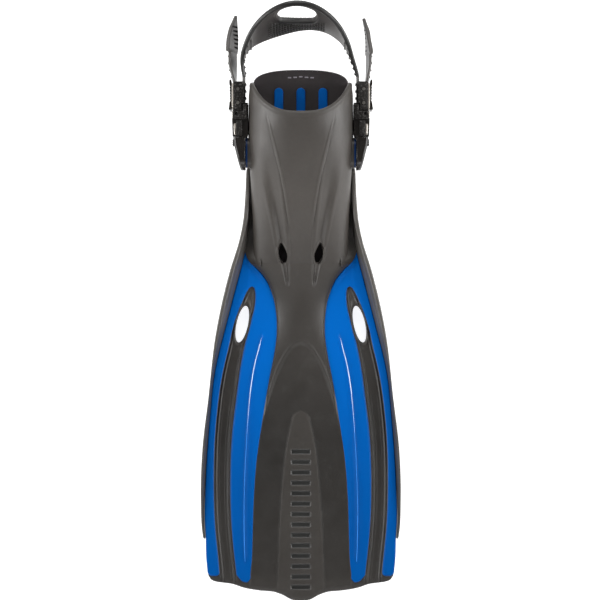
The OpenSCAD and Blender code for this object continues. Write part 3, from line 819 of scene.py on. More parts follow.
def blade_top(x, y):
    """Height of the dark rubber's top face."""
    u = np.abs(x)
    b1, c_in, c_out = spine_edge(y), channel_inner(y), channel_outer(y)
    near_toe = smooth((y - TOE_Y + 75) / 75)
    ratio = np.clip(u / np.maximum(b1, 1), 0, 1)
    soft_dome = 1 - ratio**2.2
    arch_dome = (1 - ratio**2.3) ** (1 / 2.3)
    dome = soft_dome + (arch_dome - soft_dome) * near_toe
    shoulder = SHOULDER * 36
    edge_z = FLAT_Z + 0.9 + (shoulder - FLAT_Z - 0.4) * smooth((y - TOE_Y + 12) / 12)
    z = edge_z + (spine_top(y) - edge_z) * dome
    # Soft step under the wide arch
    arch_y = TIP_Y + arch_line(np.minimum(u / SPREAD, 41))
    inside = (arch_y - y) / np.sqrt(1 + np.clip(u / 12.0, 0.0, 2.2) ** 2)
    step = 1.7 * smooth(1 - (inside + 1.5) / 6.0) * (1 - near_toe * 0.6)
    step += 0.35 * bump(inside + 0.6, 2.6)
    z += step * smooth((y - TIP_Y - 190) / 50) * (ratio < 1)
    # Raised middle panel with plain cross bars
    d = line_distance(u, y, panel_line)
    z += 0.6 * smooth(np.where(in_panel(u, y), d, -d) / 4.5 + 0.5)
    z -= 0.9 * smooth(bar_depth(x, y) / 0.8 + 0.5)
    z += pocket_relief(x, y) * (y < TOE_Y + 1) * (ratio < 1)
    # Channel between the blue panels
    inset = np.minimum(u - c_in, c_out - u)
    z = np.where(u > b1, FLAT_Z - 0.2, z) - 1.1 * smooth(inset / 1.2)
    wide = smooth((c_out - c_in - 7) / 5)
    z += 1.0 * bump(inset - 2.6, 1.6) * wide
    z += 0.3 * bump(inset - 5.6, 1.4) * wide * smooth((TIP_Y + 250 - y) / 40)
    # Rim round the oval slot
    z += 1.3 * bump((slot_reach(u, y) - 1.18) * 7.5, 2.4)
    # Thinner towards the tip edge
    left = y - (TIP_Y + tip_line(u / SPREAD))
    return z - 0.9 * smooth(1 - left / 6)


def in_panel(u, y):
    """Whether a place lies on the raised middle panel."""
    return (u < panel_half(y)) & (y < TIP_Y + PANEL_TOP)


def bar_depth(x, y):
    """Above 0 inside the plain cross bars of the middle panel."""
    bar_y = (y - BAR_Y) % BAR_PITCH - BAR_PITCH / 2
    inside = np.minimum(BAR_W / 2 - np.abs(bar_y), BAR_L / 2 - np.abs(x))
    on = (y > BAR_Y) & (y < BAR_Y + BAR_PITCH * BAR_COUNT)
    return np.where(on, inside, -9.0)


def blade_rows(start, stop, count):
    """Places along the fin from start (0) to stop (1), close together at the channel's top."""
    s = np.linspace(0, 1, count)
    split = (start - (TIP_Y + CHANNEL_TOP)) / (start - stop)
    extra = split + np.array([-0.001, 0.0, 0.0006, 0.0015, 0.003, 0.0045, 0.006, 0.008])
    return np.unique(np.clip(np.concatenate([s, extra]), 0, 1))


def build_web():
    """Dark rubber sheet: middle ridge, channels with oval slots and tip edge."""
    s = blade_rows(TOE_Y, TIP_Y, 480)

    def column(band, fraction, y):
        top = rail_inner(y) - 0.4
        edges = (
            0 * y, spine_edge(y), np.minimum(channel_inner(y), top),
            np.minimum(channel_outer(y), top), top,
        )
        return edges[band] + (edges[band + 1] - edges[band]) * fraction

    us, ys = [], []
    for band, count in enumerate((60, 8, 38, 6)):
        for fraction in np.linspace(0, 1, count)[band > 0 :]:
            end_u = float(column(band, fraction, np.array(TIP_Y + 20.0))) / SPREAD
            stop = TIP_Y + float(tip_line(min(end_u, 101.6)))
            ys.append(TOE_Y + (stop - TOE_Y) * s)
            us.append(column(band, fraction, ys[-1]))
    us, ys = np.array(us).T, np.array(ys).T
    u = np.concatenate([-us[:, :0:-1], us], axis=1)
    y = np.concatenate([ys[:, :0:-1], ys], axis=1)
    reach = slot_reach(np.abs(u), y)
    keep = cell_centres(reach) > 1
    # Pull the points round each oval slot onto its edge
    for j, i in zip(*np.nonzero(hole_edge_vertices(keep))):
        side = 1 if u[j, i] > 0 else -1
        u[j, i] = side * (SLOT_U + (abs(u[j, i]) - SLOT_U) / reach[j, i])
        y[j, i] = SLOT_Y + (y[j, i] - SLOT_Y) / reach[j, i]
    reach = slot_reach(np.abs(u), y)
    top_z = blade_top(u, y)
    drop = smooth((y - TOE_Y + 26) / 26) * smooth((54 - np.abs(u)) / 6)
    low_z = (BLADE_Z + 0.25) * (1 - drop)
    left = y - (TIP_Y + tip_line(np.abs(u) / SPREAD))
    r = 1.5
    fall = 1 - np.maximum(edge_round(np.minimum(left, (reach - 1) * 7.0), r), 0.05)
    fall *= np.minimum((top_z - low_z) / 2, r * 1.2)
    cu, cy = cell_centres(u), cell_centres(y)
    # Mark 2 gives the raised panel its lighter painted-light copy of the rubber
    marks = np.where(bar_depth(cu, cy) > 0, 1, np.where(in_panel(np.abs(cu), cy), 2, 0))
    make_object(
        "blade_rubber_web", shell(grid(u, y, top_z - fall), grid(u, y, low_z + fall), keep, marks),
        RUBBER_MAT, split=55, extra=(BAR_MAT, PANEL_LIT_MAT), replaces="blade_web",
    )


def build_gusset(side, name):
    """Rubber fillet that fills the corner between the foot pocket and the rail."""
    y, f = np.meshgrid(
        np.linspace(TOE_Y - 3, TOE_Y + 112, 90), np.linspace(0, 1, 24), indexing="ij"
    )
    low_u = pocket_half(y) - 8.0
    high_u = np.where(y < TOE_Y + 13, blue_start(y) + 0.6, rail_inner(y) + 1.0)
    u = low_u + np.maximum(high_u - low_u, 1.5) * f
    back = smooth((y - TOE_Y - 64) / 22)
    wall_z = 8.0 + 23.0 * smooth((TOE_Y + 46 - y) / 44) + 15.0 * back
    foot_z = 8.6 + 11.0 * smooth((TOE_Y + 44 - y) / 40) + 13.0 * back
    z = foot_z + (wall_z - foot_z) * (1 - f) ** 1.25
    shape = shell(grid(u, y, z), grid(u, y, np.minimum(z - 3.0, 8.0)))
    make_object(name, shape, RUBBER_MAT, side)


blue_start = from_toe([(-12, 41.5), (-4, 49), (0, 53.4), (4, 56.6), (13, 60.4)])


def blue_top(u, y):
    """Height of the blue panel's top face."""
    z = BLUE_HIGH[2] - 1.4 + 0 * u
    edge_in = u - spine_edge(y)
    inside = rib_u(y) - u
    live = smooth((y - TIP_Y - 40) / 10) * smooth((TIP_Y + 294 - y) / 8)
    z += 1.6 * bump(inside, 1.3) * live
    z += 0.5 * smooth(1 - np.abs(inside) / 6.0) * live
    z += 3.2 * smooth((y - TOE_Y + 34) / 34) * smooth(1 - edge_in / 9)
    trough = bump(inside - 4.4, 4.2) * smooth((TIP_Y + 225 - y) / 70)
    z -= 0.5 * trough * smooth((y - TIP_Y - 40) / 12) * (edge_in > 0)
    # Outer strip is slightly crowned
    return z + 0.5 * smooth((u - channel_outer(y)) / 5) * (u > channel_outer(y))


def build_blue(side, word):
    """Blue fork: inner panel and outer strip, joined near the foot pocket."""
    apex_y = TOE_Y + 13
    split_y = TIP_Y + CHANNEL_TOP
    mid_line = keyed([(split_y, 53.4 * SPREAD), (apex_y, 60.5)])

    def c_in(y):
        return np.where(y > split_y, mid_line(y), channel_inner(y))

    def c_out(y):
        return np.where(y > split_y, mid_line(y), channel_outer(y))

    def b1(y):
        return np.where(y > TOE_Y - 4, blue_start(y), spine_edge(y))

    def rib(y):
        low, high = b1(y), c_in(y)
        return np.clip(rib_u(y), low + 0.15 * (high - low), low + 0.85 * (high - low))

    near = np.linspace(0, 1, 22)
    inner_end = keyed([(0.0, 25), (0.25, 21.6), (0.5, 20.6), (0.75, 22.5), (1.0, 29)])
    outer_end = keyed([(0.0, 30.5), (0.15, 28.6), (0.5, 27.8), (0.85, 28.8), (1.0, 31.5)])
    columns = (
        [(b1, rib, f, 0.55 * f) for f in 1 - (1 - near) ** 1.7]
        + [(rib, c_in, f, 0.55 + 0.45 * f) for f in near[1:] ** 1.7],
        [(c_out, rail_inner, f, f) for f in np.linspace(0, 1, 20)],
    )
    parts = []
    for group, ends in zip(columns, (inner_end, outer_end)):
        u, y = [], []
        for low, high, f, share in group:
            stop = TIP_Y + ends(share)
            ys = apex_y + (stop - apex_y) * blade_rows(apex_y, TIP_Y + 25, 380)
            y.append(ys)
            u.append(low(ys) + (high(ys) - low(ys)) * f)
        u, y = np.array(u).T, np.array(y).T
        z = blue_top(u, y)
        # Rounded edges, except along the line where the two halves join
        joint = smooth((y - split_y) / 3) * 50
        from_low, from_high = u - u[:, :1], u[:, -1:] - u
        if ends is inner_end:
            from_high = from_high + joint
        else:
            from_low = from_low + joint
        d = np.minimum(np.minimum(from_low, from_high), y - y[-1:, :])
        fall = 1 - edge_round(d, 1.3)
        # Painted highlight: pale blue line along the crest of the rib, lighter blue on its lower
        # run
        cu = (u[:-1, :-1] + u[:-1, 1:]) / 2
        cy = (y[:-1, :-1] + y[1:, 1:]) / 2
        width = 0.42 * smooth((TIP_Y + 292 - cy) / 14) * smooth((cy - TIP_Y - 175) / 70)
        off = np.abs(cu - rib(cy)) + 9 * (ends is outer_end)
        low_crest_highlight = (off < 0.3) & (cy > TIP_Y + 44) & (cy < TIP_Y + 215)
        parts.append(shell(
            grid(u, y, z - 1.1 * fall), grid(u, y, BLUE_LOW[2] + 0.5 * fall),
            mark=np.where(off < width, 1, 2 * low_crest_highlight),
        ))
    make_object(
        f"blue_fork_{word}", (*joined(parts), parts[0][2] + parts[1][2]), BLUE_MAT,
        side, split=60, extra=(CREST_HIGHLIGHT_MAT, CREST_LOW_HIGHLIGHT_MAT),
        replaces=f"blue_panel_{word}",
    )


def build_rail(side, word):
    """Side rail: sloping inner face, stepped crown and upright outer wall."""
    back_y, front_y, high_z = RAIL_HIGH[1] + 19, RAIL_LOW[1], RAIL_HIGH[2]
    y = np.concatenate([
        back_y - 10 * (1 - np.cos(np.linspace(0, math.pi / 2, 14))),
        np.linspace(back_y - 10.5, front_y + 3, 240),
        front_y + 3 * (1 - np.sin(np.linspace(0, math.pi / 2, 8))),
    ])
    crown = from_toe([
        (115, 25), (81, 27), (65, high_z - 11), (30, high_z - 8.5), (-15, high_z - 6.5),
        (-60, high_z - 6), (-150, high_z - 10), (-240, high_z - 17), (-289, 19),
        (-309, 17.5),
    ])(y)
    foot = np.interp(y, [TOE_Y + 50, TOE_Y + 87], [0.0, 6.0])
    end = np.minimum((back_y - y) / 10, (y - front_y) / 3)
    squeeze = edge_round(end, 1) * 0.97 + 0.03
    low_u = rail_inner(y)
    width = np.maximum(rail_outer(y) - low_u, 1.6)
    section = rounded(
        [
            (0.0, 0.0), (0.0, 0.44), (0.02, 0.52), (0.30, 0.80), (0.40, 0.86), (0.50, 0.90),
            (0.56, 0.985), (0.66, 1.0), (0.92, 1.0), (1.0, 0.96), (1.0, 0.03), (0.9, 0.0),
        ],
        [0.04, 0.05, 0.05, 0.06, 0.04, 0.03, 0.03, 0.05, 0.05, 0.03, 0.03, 0.03], 4,
    )
    blade = np.minimum(BLADE_Z + 4.0, crown * 0.5)
    slim = smooth((y - TOE_Y - 15) / 50)
    centre = (foot + crown) / 2
    columns = []
    for a, b in section:
        a = a * (1 - 0.8 * slim * (b > 0.5 and a < 0.7))
        low, high, share = (foot, blade, b / 0.5) if b <= 0.5 else (blade, crown, b / 0.5 - 1)
        z = centre + (low + (high - low) * share - centre) * squeeze
        columns.append(grid(low_u + width * (0.5 + (a - 0.5) * squeeze), y, z))
    make_object(
        f"rail_rubber_{word}", lofted(np.stack(columns, axis=1)), RAIL_MAT, side,
        split=60, replaces=f"rail_{word}",
    )


# ---------- Strap ----------

BAND_U = (POCKET_U + 3.1 + POCKET_U + 6.1) / 2
STRAP_T = 3.0
STRAND_END_Y = THROAT_SIDE_Y + 5
HEEL_Y = STRAP_HIGH[1]
BAND_HALF_W = 11.0
BAND_Z0, BAND_Z1 = PIVOT_Z - BAND_HALF_W, PIVOT_Z + BAND_HALF_W
PAD_Z0, PAD_Z1 = BAND_Z0 + 7, STRAP_HIGH[2]
ROLLER_U = (ROLLER_LOW[0] + ROLLER_HIGH[0]) / 2
ROLLER_Y = (ROLLER_LOW[1] + ROLLER_HIGH[1]) / 2
TURN_R = (ROLLER_HIGH[0] - ROLLER_LOW[0]) / 2 + 0.3 + STRAP_T / 2
TOOTH_PITCH = 7.5
HOLE_HALF = 22.0
HOLE_LOW_Y = HEEL_Y - 17.5
HOLE_RIM = 6.5
TAB_BACK, TAB_LENGTH = 53.0, 40.5
PAD_DRIFT = 4.2
PAD_TILT = 12.0
# Stations along the heel pad and along each pull tab, points round the turn at a roller
PAD_STEPS, TAB_STEPS, TURN_STEPS = 420, 99, 25


def strap_side(lean, tab_lean, splay, short, curl):
    """Stations from the strand's start back round the roller to the tab's tip.

    Each is (u, y, lean, reach up, reach down, half thickness, run along the strap).
    """
    half_w, half_t = BAND_HALF_W, STRAP_T / 2
    outer_u = ROLLER_U + TURN_R
    rows = []
    s = 0.0
    for y in np.arange(STRAND_END_Y, ROLLER_Y, -0.5):
        rows.append((BAND_U, y, 0.0, half_w, half_w, half_t, s))
        s += 0.5
    for a in np.linspace(0, math.pi, TURN_STEPS + 1):
        u, y = ROLLER_U - TURN_R * math.cos(a), ROLLER_Y - TURN_R * math.sin(a)
        rows.append((u, y, 0.0, half_w, half_w, half_t, s))
        s += TURN_R * math.pi / TURN_STEPS
    tab_y = HEEL_Y - TAB_BACK - short
    for y in np.arange(ROLLER_Y + 0.5, tab_y, 0.5):
        bend = float(smooth((y - ROLLER_Y - 40) / 30))
        rows.append((outer_u + splay * bend, y, lean * bend, half_w, half_w, half_t, s))
        s += 0.5
    s += short
    for f in np.linspace(0, 1, TAB_STEPS + 1):
        up = 16.0 * (1 - f**1.35) + 1.2 if f > 0.012 else half_w
        down = 11.5 * (1 - f**1.6) + 1.0
        turn = lean + (tab_lean - lean) * float(smooth(f * 2))
        thick = half_t + 0.9 * float(smooth(f / 0.08)) * (1 - 0.55 * f)
        u = outer_u + splay - curl * f * f
        rows.append((u, tab_y + TAB_LENGTH * f, turn, up, down, thick, s))
        s += TAB_LENGTH / TAB_STEPS
    return rows


def strap_stations():
    """Lower and upper edge points, half thickness and run (-1 on the pad) of each station."""
    stations = []

    def add(side, row):
        u, y, lean, up, down, t, s = row
        sn, c = math.sin(math.radians(lean)), math.cos(math.radians(lean))
        low = (side * (u - down * sn), y, PIVOT_Z - down * c)
        high = (side * (u + up * sn), y, PIVOT_Z + up * c)
        stations.append((low, high, t, s))

    for row in reversed(strap_side(19.0, 27.0, 2.6, 0.0, 3.4)):
        add(-1, row)
    for k in range(1, PAD_STEPS):
        a = -math.pi / 2 + math.pi * k / PAD_STEPS
        c, sn = max(math.cos(a), 0.0), math.sin(a)
        reach_low = (HEEL_Y - 28 - STRAND_END_Y) * c**0.7
        reach_high = (HEEL_Y - 2.4 - STRAND_END_Y) * c**0.95
        u = BAND_U * sn - PAD_DRIFT * float(smooth(reach_low / 24))
        low_y = STRAND_END_Y + reach_low + PAD_TILT * sn * c**3
        low = (u, low_y, BAND_Z0 + (PAD_Z0 - BAND_Z0) * c)
        high = (u, STRAND_END_Y + reach_high, BAND_Z1 + (PAD_Z1 - BAND_Z1) * c**1.2 - 0.6)
        stations.append((low, high, STRAP_T / 2 + 0.9 * c, -1.0))
    for row in strap_side(9.0, 5.0, 2.4, 3.0, 5.6):
        add(1, row)
    return [np.array(c) for c in zip(*stations)]


def hole_inset(x, y):
    """Distance inside the outline of the finger hole, below 0 outside it."""
    arch = np.sqrt(np.clip(1 - (x / (BAND_U - 6)) ** 2, 0, 1))
    from_top = STRAND_END_Y + (HEEL_Y - HOLE_RIM - STRAND_END_Y) * arch - y
    from_side = (HOLE_HALF - 0.5 - np.abs(x)) * 0.9
    from_bottom = y - HOLE_LOW_Y
    inset = np.minimum(np.minimum(from_bottom, from_top), from_side)
    r = 5.0
    rounding = r - np.hypot(r - from_bottom, r - from_side)
    inset = np.where((from_bottom < r) & (from_side < r), rounding, inset)
    r = 3.5
    rounding = np.minimum(inset, r - np.hypot(r - from_top, r - from_side))
    return np.where((from_top < r) & (from_side < r), rounding, inset)


def build_strap():
    """One rubber sheet: tab, outer strand, turn, inner strand, heel pad and back again."""
    lows, highs, thick, arc = strap_stations()
    arc = arc[:, None]
    on_pad = arc < 0
    v = np.linspace(0, 1, 88)
    v = v - 0.35 * np.sin(2 * math.pi * v) / (2 * math.pi)
    share = v[None, :, None]
    mid = lows[:, None, :] * (1 - share) + highs[:, None, :] * share
    # The pad is hollowed a little behind the heel
    c_mid = np.clip(1 - np.abs(mid[..., 0]) / BAND_U, 0, 1)
    mid[..., 1] -= 2.2 * np.sin(math.pi * v) * smooth(c_mid * 1.6) * on_pad

    near_hole = on_pad & (mid[..., 2] > PAD_Z0)
    x = mid[..., 0] + PAD_DRIFT
    inside = np.where(near_hole, hole_inset(x, mid[..., 1]), -50.0)
    keep = cell_centres(inside) < 0
    # Slide the points on the hole's edge until they lie on its outline
    gj, gi = np.gradient(inside)
    for j, i in zip(*np.nonzero(hole_edge_vertices(keep))):
        slope = np.array([gj[j, i], gi[j, i]])
        n2 = float(slope @ slope)
        if n2 < 1e-6:
            continue
        dj, di = np.clip(-inside[j, i] * slope / n2, -0.9, 0.9)
        jn = min(max(j + int(np.sign(dj)), 0), mid.shape[0] - 1)
        inn = min(max(i + int(np.sign(di)), 0), mid.shape[1] - 1)
        base = mid[j, i].copy()
        mid[j, i] = base + (mid[jn, i] - base) * abs(dj) + (mid[j, inn] - base) * abs(di)
    normal = grid_normals(mid)
    height = np.linalg.norm(highs - lows, axis=1)[:, None]
    from_low, from_high = v * height, (1 - v) * height
    from_side = np.minimum(from_low, from_high)
    half = thick[:, None]
    d = np.minimum(from_side, np.where(near_hole, np.abs(inside), 50))
    round_off = np.maximum(edge_round(d, half), 0.03)
    # Raised bead along the upper edge and round the finger hole
    bead = 0.9 * bump(from_high - 2.4, 2.4) * on_pad
    lip = 1.0 * bump(inside + 2.2, 2.4) * near_hole

    def to_tooth(run, pitch):
        phase = run % pitch
        return np.minimum(phase, pitch - phase)

    # Teeth on the strands
    inner_end = STRAND_END_Y - ROLLER_Y
    outer_start = inner_end + TURN_R * math.pi
    inner_run = (arc > 4) & (arc < inner_end - 3)
    outer_run = (arc > outer_start + 4) & (arc < outer_start + 76)
    inner_phase = to_tooth(arc - inner_end % TOOTH_PITCH, TOOTH_PITCH)
    outer_phase = to_tooth(arc - outer_start, TOOTH_PITCH)
    tooth_side = smooth(from_side / 1.6 - 0.4)
    teeth = 1.2 * smooth(1.25 - inner_phase / 1.3) * inner_run * tooth_side
    teeth += 1.2 * smooth(1.25 - outer_phase / 1.3) * outer_run * tooth_side
    # More teeth on the curved run up to the pad
    steps = np.linalg.norm(np.diff(lows, axis=0), axis=1)
    band_arc = np.concatenate([[0.0], np.cumsum(steps)])[:, None]
    ends = band_arc[on_pad]
    run = np.minimum(band_arc - ends[0], ends[-1] - band_arc)
    peak = np.clip(1 - to_tooth(run + 2, 6.0) / 1.9, 0, 1)
    teeth += 1.7 * peak * tooth_side * smooth((27 - from_low) / 3) * (on_pad & (run < 36))
    # Diamond grip on the lower half of the pad
    area = smooth((33 - np.abs(x)) / 6) * smooth((from_low - 3) / 3) * on_pad
    area = area * smooth((HOLE_LOW_Y - 3.0 - mid[..., 1]) / 1.5)
    a1 = 2 * math.pi * (mid[..., 0] / 6.0 + from_low / 8.4)
    a2 = 2 * math.pi * (mid[..., 0] / 6.0 - from_low / 8.4)
    grip = 1.5 * np.clip(np.sin(a1) * np.sin(a2) + 0.2, 0, 1) * area
    # Grip slots across the inner face of the pull tabs
    along_tab = arc - outer_start - (HEEL_Y - TAB_BACK - ROLLER_Y)
    slot_phase = np.abs((along_tab - 4) % 4.4 - 2.2)
    slots = 2.0 * smooth(1.3 - slot_phase / 0.9) * (along_tab > 4) * (along_tab < 31)
    slots = slots * smooth((from_low - 1.5) / 1.0) * smooth((13 - from_low) / 1.2)
    ridge = 0.7 * (along_tab > 0) * smooth(1 - np.abs(from_low - 14) / 7)
    # The plus face looks at the foot on the pad and outwards on the outer strands
    plus = (half + bead + lip + ridge) * round_off + teeth + grip
    minus = (half + lip * 0.6 - slots) * round_off
    # Painted shade: the pad's top rim, the strands inside the buckle, the tab slots and the grip
    # dots take the near-black rubber
    in_buckle = ~on_pad & (mid[..., 1] < STRAND_END_Y - 7)
    rim = (from_high < 2.4) & on_pad | in_buckle | (slots > 0.5) | (grip > 0.5)
    shape = shell(
        mid + normal * plus[..., None], mid - normal * minus[..., None], keep,
        rim[1:, 1:].astype(int),
    )
    make_object(
        "heel_strap_rubber", shape, STRAP_MAT, body="strap", split=50,
        weld=0.001, extra=(STRAP_SHADE_MAT,), replaces="heel_strap",
    )


# ---------- Buckles ----------

BASE_IN_U, BASE_BACK_Y = BASE_LOW[0], BASE_HIGH[1]
PLATE_IN, PLATE_OUT = 11.3, FRAME_TOP_Z - PIVOT_Z
LEVER_U, LEVER_Y = POCKET_U + 19.2, PIVOT_Y + 51
FRAME_Y = PIVOT_Y + 21


def carved(obj, cutters, side):
    """Cuts other closed bodies out of the object."""
    for vertices, faces in cutters:
        mesh = closed_mesh("cutter", vertices, faces, side)
        cutter = linked("cutter", mesh)
        mod = obj.modifiers.new("cut", "BOOLEAN")
        mod.object = cutter
        mod.solver = "EXACT"
        bpy.context.view_layer.update()
        graph = bpy.context.evaluated_depsgraph_get()
        done = bpy.data.meshes.new_from_object(obj.evaluated_get(graph))
        obj.modifiers.clear()
        old = obj.data
        obj.data = done
        bpy.data.meshes.remove(old)
        bpy.data.objects.remove(cutter)
        bpy.data.meshes.remove(mesh)
    smooth_faces(obj.data)


def build_base(side, word):
    """Swivelling half of a buckle: domed paddle with bevelled edges and a screw recess."""
    outer = keyed([(-16, 3.2), (-13, 4.7), (-9, 6.0), (0, 8.4), (11, 11), (20, 12.3)])
    inner = BASE_IN_U - 0.7
    ys = np.concatenate([
        PIVOT_Y - 15.2 * np.cos(np.linspace(0.12, 1.45, 22)),
        np.linspace(PIVOT_Y - 1, BASE_BACK_Y, 30),
    ])
    rings = []
    for y in ys:
        h = 15.0 * math.sqrt(max(1 - (max(PIVOT_Y - y, 0) / 15.6) ** 2, 0.01))
        h -= 1.2 * float(smooth((y - PIVOT_Y - 4) / 14))
        thick = max(float(outer(y - PIVOT_Y)), 1.2)
        out, cut, drop = BASE_IN_U + thick, min(1.7, thick * 0.5), min(2.2, h * 0.4)
        section = rounded(
            [
                (inner, -h + 0.6), (out - cut, -h), (out, -h + drop), (out + 0.3, 0),
                (out, h - drop), (out - cut, h), (inner, h - 0.6),
            ],
            [0.8, 0.5, 0.5, 6.0, 0.5, 0.5, 0.8], 4,
        )
        rings.append([(u, y, PIVOT_Z + z) for u, z in section])
    obj = make_object(
        f"buckle_base_{word}_shell", lofted(rings), BLACK_MAT, side,
        f"buckle_base_{word}", replaces=f"swivel_{word}",
    )
    (low, y0, z0), (high, y1, z1) = BUTTON_LOW, BUTTON_HIGH
    gap = 0.35
    well = box(y0 - gap, z0 - gap, y1 + gap, z1 + gap)
    channel = box(BASE_IN_U + 2.0, PIVOT_Z - 8.4, BASE_IN_U + 7.4, PIVOT_Z + 8.4)
    cutters = (
        prism(circle(PIVOT_Y, PIVOT_Z, 8.0, 48), BASE_IN_U + 3.2, BASE_IN_U + 20, axis="x"),
        prism(circle(PIVOT_Y, PIVOT_Z, 5.6, 40), BASE_IN_U - 4, BASE_IN_U + 4, axis="x"),
        prism(well, low - 1.4, high + 9, axis="x"),
        prism(channel, PIVOT_Y + 9.6, PIVOT_Y + 26, axis="y"),
    )
    carved(obj, cutters, side)
    sharpen(obj, 32)


def buckle_piece(name, parts, material, body, side, replaces=None, split=40):
    """One object from the small bodies of a buckle part."""
    make_object(
        name, joined(parts), material, side, body, split=split, weld=0.0002,
        replaces=replaces,
    )


def plan(points, radii, steps=5):
    """Outline of a frame part from corners.

    Each is (u where the pocket's half width is 57 mm, distance behind FRAME_Y).
    """
    shift = POCKET_U - 57
    return rounded([(u + shift, FRAME_Y + y) for u, y in points], radii, steps)


def flipped(part):
    """The same part on the lower side of the buckle."""
    return [(x, y, 2 * PIVOT_Z - z) for x, y, z in part[0]], part[1]


def build_frame(side, word):
    """Upper half of a buckle: grained plates, outer edge painted pale as a highlight, web and
    tongue.
    """
    block = plan(
        [
            (61.2, 59.2), (61.2, 36.0), (64.0, 36.0), (64.0, 28.9), (72.6, 28.9),
            (72.8, 57.0), (71.4, 59.2),
        ],
        [1.0, 0.6, 0.3, 0.3, 0.3, 1.0, 1.0],
    )
    step = plan(
        [(57.4, 34.4), (62.2, 34.4), (62.2, 27.2), (73.0, 27.2), (73.0, 18.8), (57.4, 18.8)],
        [1.0, 0.5, 0.3, 0.5, 0.6, 0.8],
    )
    window = circle(POCKET_U + 12.4, FRAME_Y + 24.6, 1.7, 20)
    neck = plan(box(63.2, 0.8, 69.4, 17.0), [1.0, 0.8, 0.4, 0.4])
    edge = plan(
        [(72.4, 28.6), (74.0, 28.8), (74.4, 31), (74.4, 54), (73.8, 57.6), (72.4, 57.6)],
        [0.3, 0.8, 1.5, 1.5, 1.0, 0.3],
    )
    step_edge = plan(
        [(72.6, 20), (74.3, 20.4), (74.5, 26.8), (72.6, 26.8)], [0.3, 0.8, 0.8, 0.3]
    )
    neck_edge = plan(
        [(69.8, 1.2), (72.0, 1.6), (72.3, 7), (72.3, 13.6), (69.8, 13.6)],
        [0.3, 0.8, 1.5, 0.8, 0.3],
    )
    # The cheek plate reaches in to the pocket wall as a dark sheet for the shade between buckle
    # and pocket
    shade_cheek = plan(
        [
            (57.0, 36.4), (60.6, 36.4), (60.6, 59), (72.9, 59), (73.2, 27), (74.2, 18),
            (73.6, 0.2), (58.3, -1.0), (57.0, 4),
        ],
        [0.8, 0.3, 0.8, 0.8, 0.8, 1.0, 0.8, 0.8, 0.8],
    )
    low, high = cad_box(f"frame_pins_{word}")
    pin_u, pin_r = (abs(low[0]) + abs(high[0])) / 2, 1.25
    z0, z1 = PIVOT_Z + PLATE_IN, PIVOT_Z + PLATE_OUT
    dark = [
        prism(shade_cheek, z0, z0 + 1.0, 0.3, holes=[]),
        prism(circle(LEVER_U, LEVER_Y, 1.6, 24), z0, z1 - 0.3, 0.4),
    ] + [
        prism(circle(pin_u, y, 2.3, 28), z1 - 0.3, z1 + 0.35, 0.2,
              holes=[circle(pin_u, y, 1.45, 20)])
        for y in (low[1] + pin_r, high[1] - pin_r)
    ]
    grained = [
        prism(neck, z0 + 0.4, z1 + 0.1, 0.5, holes=[]),
        prism(step, z0 + 0.4, z1 - 0.2, 0.5, holes=[window]),
        prism(block, z0 + 0.4, z1, 0.6, holes=[]),
    ]
    # Outer bevels, coloured pale as a painted highlight
    highlight_edges = [
        prism(edge, z0 + 0.4, z1 - 0.4, 0.6, steps=4),
        prism(step_edge, z0 + 0.4, z1 - 0.9, 0.8, steps=4),
        prism(neck_edge, z0 + 0.4, z1 - 1.2, 0.9, steps=5),
    ]
    dark, grained, highlight_edges = ([*ps, *map(flipped, ps)] for ps in (dark, grained, highlight_edges))
    lower, upper = PIVOT_Z - PLATE_OUT + 3, PIVOT_Z + PLATE_OUT - 3
    front = PIVOT_Y - FRAME_Y
    tongue = plan(
        [
            (63.1, 1), (63.1, front + 11.6), (64.4, front + 10.3), (66.3, front + 10.3),
            (67.5, front + 11.6), (67.5, 1),
        ],
        0.4, 3,
    )
    dark += [
        prism(plan(box(62.4, 0, 73.6, 4.5), 0.8, 3), lower, upper, 0.6),
        prism(plan(box(63.6, 18.4, 69.2, 56.5), 0.6, 3), lower, upper, 0.4),
        prism(tongue, PIVOT_Z - 8, PIVOT_Z + 8, 0.7),
    ]
    name = f"buckle_frame_{word}"
    buckle_piece(f"{name}_web", dark, BLACK_MAT, "strap", side)
    buckle_piece(f"{name}_plates", grained, GRAIN_MAT, "strap", side, f"clip_frame_{word}")
    buckle_piece(f"{name}_edge", highlight_edges, EDGE_HIGHLIGHT_MAT, "strap", side)


def build_lever(side, word):
    """Lock lever: hub on its pin, pawl towards the strap and a ribbed flared end."""
    end = FRAME_Y + 61.5
    arm = [
        (LEVER_U - 1.5, LEVER_Y + 0.5), (74.3, LEVER_Y + 3), (74.3, LEVER_Y + 10.2),
        (73.5, LEVER_Y + 11.6), (74.3, LEVER_Y + 13.2), (74.3, end - 6), (74.9, end - 1),
        (76.0, end + 0.4), (77.2, end - 0.6), (77.3, end - 4),
    ]
    for k in range(6):
        y, out = end - 6 - 3 * k, 77.1 - 0.08 * k
        arm += [(out, y), (out - 0.7, y - 0.9), (out - 0.7, y - 1.7), (out - 0.1, y - 2.5)]
    arm += [(77.0, LEVER_Y + 7), (LEVER_U + 1.5, LEVER_Y + 0.6)]
    arm += [
        (LEVER_U + 1.6 * math.cos(a), LEVER_Y + 1.6 * math.sin(a))
        for a in np.radians([-20, -55, -90, -125, -160])
    ]
    hole = circle(LEVER_U, LEVER_Y, 1.05, 20)
    buckle_piece(
        f"lock_lever_{word}_ribbed",
        [prism(arm, PIVOT_Z - 10.5, PIVOT_Z + 10.5, 0.35, holes=[hole])], BLACK_MAT,
        f"lever_{word}", side, f"lock_lever_{word}",
    )


